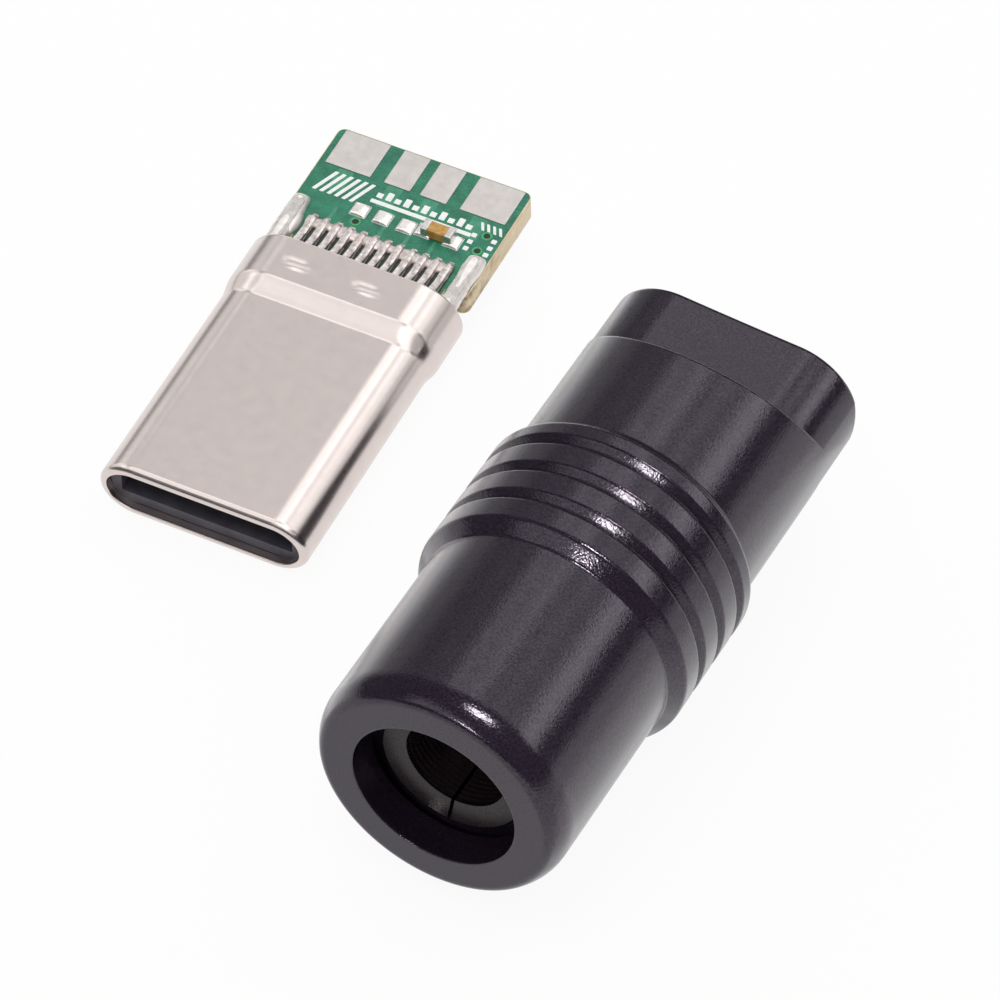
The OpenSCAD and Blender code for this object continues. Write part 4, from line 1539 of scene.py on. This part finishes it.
@dataclass
class Studio:
    """Floor, light and camera. Sizes are metres, angles degrees, the lens and its sensor millimetres."""

    target: Point = (0.000643, 0.002417, 0.0)
    distance: float = 0.25
    azimuth: float = 28.387
    elevation: float = 48.2
    lens: float = 254.73
    sensor: float = 36.0
    nearest: float = 0.01
    sky: float = 0.12
    floor_reach: float = 3.0
    floor_low: float = -0.00001
    floor_glow: float = 0.93
    paper: str = "#fbfaf9"
    lamps: tuple[Lamp | TablePatch, ...] = (
        Lamp("plug_top_box", PLUG_PLACE, 190.0, 76.0, (26.0, 16.0), 0.8),
        Lamp("plug_roof_box", PLUG_PLACE, -10.0, 75.0, (30.0, 14.0), 1.2),
        Lamp("plug_low_box", PLUG_PLACE, 36.0, 8.5, (25.0, 9.5), 0.42),
        Lamp("plug_side_box", PLUG_PLACE, 38.0, 22.0, (20.0, 7.0), 0.22),
        Lamp("plug_band_low_box", PLUG_PLACE, 44.0, 33.0, (16.0, 6.0), 0.55),
        Lamp("plug_band_right_box", PLUG_PLACE, 56.0, 45.0, (12.0, 7.0), 0.98),
        Lamp("plug_band_box", PLUG_PLACE, 75.0, 52.0, (10.0, 12.0), 0.6),
        Lamp("plug_band_left_box", PLUG_PLACE, 98.0, 53.0, (9.0, 12.0), 1.0),
        Lamp("plug_back_box", PLUG_PLACE, 122.0, 46.0, (13.0, 11.0), 0.43),
        Lamp("plug_back_low_box", PLUG_PLACE, 135.0, 35.0, (16.0, 7.0), 0.41),
        Lamp("plug_left_box", PLUG_PLACE, 141.0, 22.0, (16.0, 7.0), 0.5),
        Lamp("plug_left_low_box", PLUG_PLACE, 144.0, 8.0, (18.0, 7.5), 0.1),
        Lamp("plug_edge_box", PLUG_PLACE, 132.0, 61.0, (8.0, 4.0), 0.65),
        Lamp("plug_rear_corner_box", PLUG_PLACE, 192.0, 50.0, (22.0, 13.0), 0.6),
        Lamp("plug_front_box", PLUG_PLACE, -75.0, 50.0, (26.0, 18.0), 0.5),
        Lamp("plug_corner_box", PLUG_PLACE, -10.0, 42.0, (22.0, 18.0), 0.36),
        Lamp("plug_left_corner_box", PLUG_PLACE, 172.0, 26.0, (20.0, 22.0), 0.6),
        Lamp("plug_tail_box", PLUG_PLACE, 108.0, 20.0, (22.0, 11.0), 0.85),
        Lamp("housing_strip_box", HOUSING_PLACE, 41.0, 27.0, (14.0, 7.0), 1.921),
        Lamp("housing_right_box", HOUSING_PLACE, 52.0, 42.0, (12.0, 8.0), 0.644),
        Lamp("housing_back_box", HOUSING_PLACE, 73.0, 51.0, (12.0, 10.0), 0.633),
        Lamp("housing_top_box", HOUSING_PLACE, 100.0, 53.0, (12.0, 10.0), 0.938),
        Lamp("housing_far_box", HOUSING_PLACE, 125.0, 44.0, (11.0, 10.0), 0.271),
        Lamp("housing_left_box", HOUSING_PLACE, 138.0, 28.0, (12.0, 8.0), 0.158),
        Lamp("housing_low_box", HOUSING_PLACE, 143.0, 10.0, (14.0, 9.0), 0.339),
        Lamp("housing_front_box", HOUSING_PLACE, -110.0, 45.0, (24.0, 14.0), 0.791),
        Lamp("housing_key_box", HOUSING_PLACE, -82.3, 35.4, (3.4, 3.4), 55.0),
        Lamp("ring_front_box", RING_PLACE, -110.0, 45.0, (24.0, 14.0), 0.35),
        Lamp("ring_glint_box", RING_PLACE, -82.3, 35.4, (3.4, 3.4), 24.0),
        Lamp("housing_spark_box", HOUSING_PLACE, -1.0, 74.0, (3.0, 8.0), 50.85),
        TablePatch("housing_table_near", HOUSING_PLACE, (12.4, -14.0), (17.0, 10.0), 0.29),
        TablePatch("housing_table_right", HOUSING_PLACE, (17.0, -14.0), (26.0, 12.0), 0.3),
        TablePatch("housing_table_left", HOUSING_PLACE, (-14.0, -13.0), (-2.0, 18.0), 0.75, above=0.0028),
        TablePatch("housing_table_far_left", HOUSING_PLACE, (-45.0, -13.0), (-22.0, 40.0), 0.33),
    )

    def lay_floor(self) -> None:
        """A pale floor that is white to the camera and in reflections, and still takes a faint shadow."""
        made = bpy.data.materials.new("white_paper_floor")
        made.use_nodes = True
        tree = made.node_tree
        tree.nodes.clear()
        path = add(tree, "ShaderNodeLightPath")
        seen = path.outputs["Is Camera Ray"]
        for kind in ("Is Glossy Ray", "Is Transmission Ray"):
            either = {0: seen, 1: path.outputs[kind]}
            seen = add(tree, "ShaderNodeMath", either, operation="MAXIMUM").outputs[0]
        share = add(tree, "ShaderNodeMath", {0: seen, 1: self.floor_glow}, operation="MULTIPLY")
        paper = add(tree, "ShaderNodeBsdfDiffuse", {"Color": linear(self.paper)})
        glow = add(tree, "ShaderNodeEmission", {"Color": (1, 1, 1, 1), "Strength": 1.0})
        layers = {0: share.outputs[0], 1: paper.outputs[0], 2: glow.outputs[0]}
        mix = add(tree, "ShaderNodeMixShader", layers)
        add(tree, "ShaderNodeOutputMaterial", {"Surface": mix.outputs[0]})
        mesh = bpy.data.meshes.new("floor")
        sides = ((-1, -1), (1, -1), (1, 1), (-1, 1))
        corners = [(x * self.floor_reach, y * self.floor_reach, self.floor_low) for x, y in sides]
        mesh.from_pydata(corners, [], [(0, 1, 2, 3)])
        mesh.materials.append(made)
        floor = bpy.data.objects.new("floor", mesh)
        bpy.context.scene.collection.objects.link(floor)
        PLUG_PLACE.lit_set().objects.link(floor)

    def fill_sky(self) -> None:
        """An even white room round the set."""
        world = bpy.data.worlds.new("white_room")
        world.use_nodes = True
        tree = world.node_tree
        tree.nodes.clear()
        seen = add(tree, "ShaderNodeLightPath").outputs["Is Camera Ray"]
        share = add(tree, "ShaderNodeMapRange", {"Value": seen, "To Min": self.sky, "To Max": 1.0})
        light = {"Color": (1, 1, 1, 1), "Strength": share.outputs["Result"]}
        back = add(tree, "ShaderNodeBackground", light)
        add(tree, "ShaderNodeOutputWorld", {"Surface": back.outputs[0]})
        bpy.context.scene.world = world

    def set_camera(self) -> None:
        """A long lens at the photograph's angle."""
        lens = bpy.data.cameras.new("camera")
        lens.lens = self.lens
        lens.sensor_width = self.sensor
        lens.clip_start = self.nearest
        camera = bpy.data.objects.new("camera", lens)
        a, e = math.radians(self.azimuth), math.radians(self.elevation)
        back = Vector((math.sin(a) * math.cos(e), -math.cos(a) * math.cos(e), math.sin(e)))
        camera.location = Vector(self.target) + back * self.distance
        camera.rotation_euler = (-back).to_track_quat("-Z", "Y").to_euler()
        bpy.context.scene.collection.objects.link(camera)
        bpy.context.scene.camera = camera

    def build(self) -> None:
        """Sets up the whole studio."""
        self.set_camera()
        self.lay_floor()
        self.fill_sky()
        for lamp in self.lamps:
            lamp.hang()
        bpy.context.scene.view_settings.view_transform = "Standard"


def main() -> None:
    """Builds the studio and every sub-assembly in order."""
    logging.basicConfig(level=logging.INFO, format="%(name)s %(message)s")
    Studio().build()
    for group in (
        PlugShell(PLUG_PLACE),
        PlugInside(PLUG_PLACE),
        SolderBoard(PLUG_PLACE),
        BarrelHousing(HOUSING_PLACE),
        ClampRing(RING_PLACE),
    ):
        LOG.info("building %s", type(group).__name__)
        group.build()


if __name__ == "__main__":
    main()
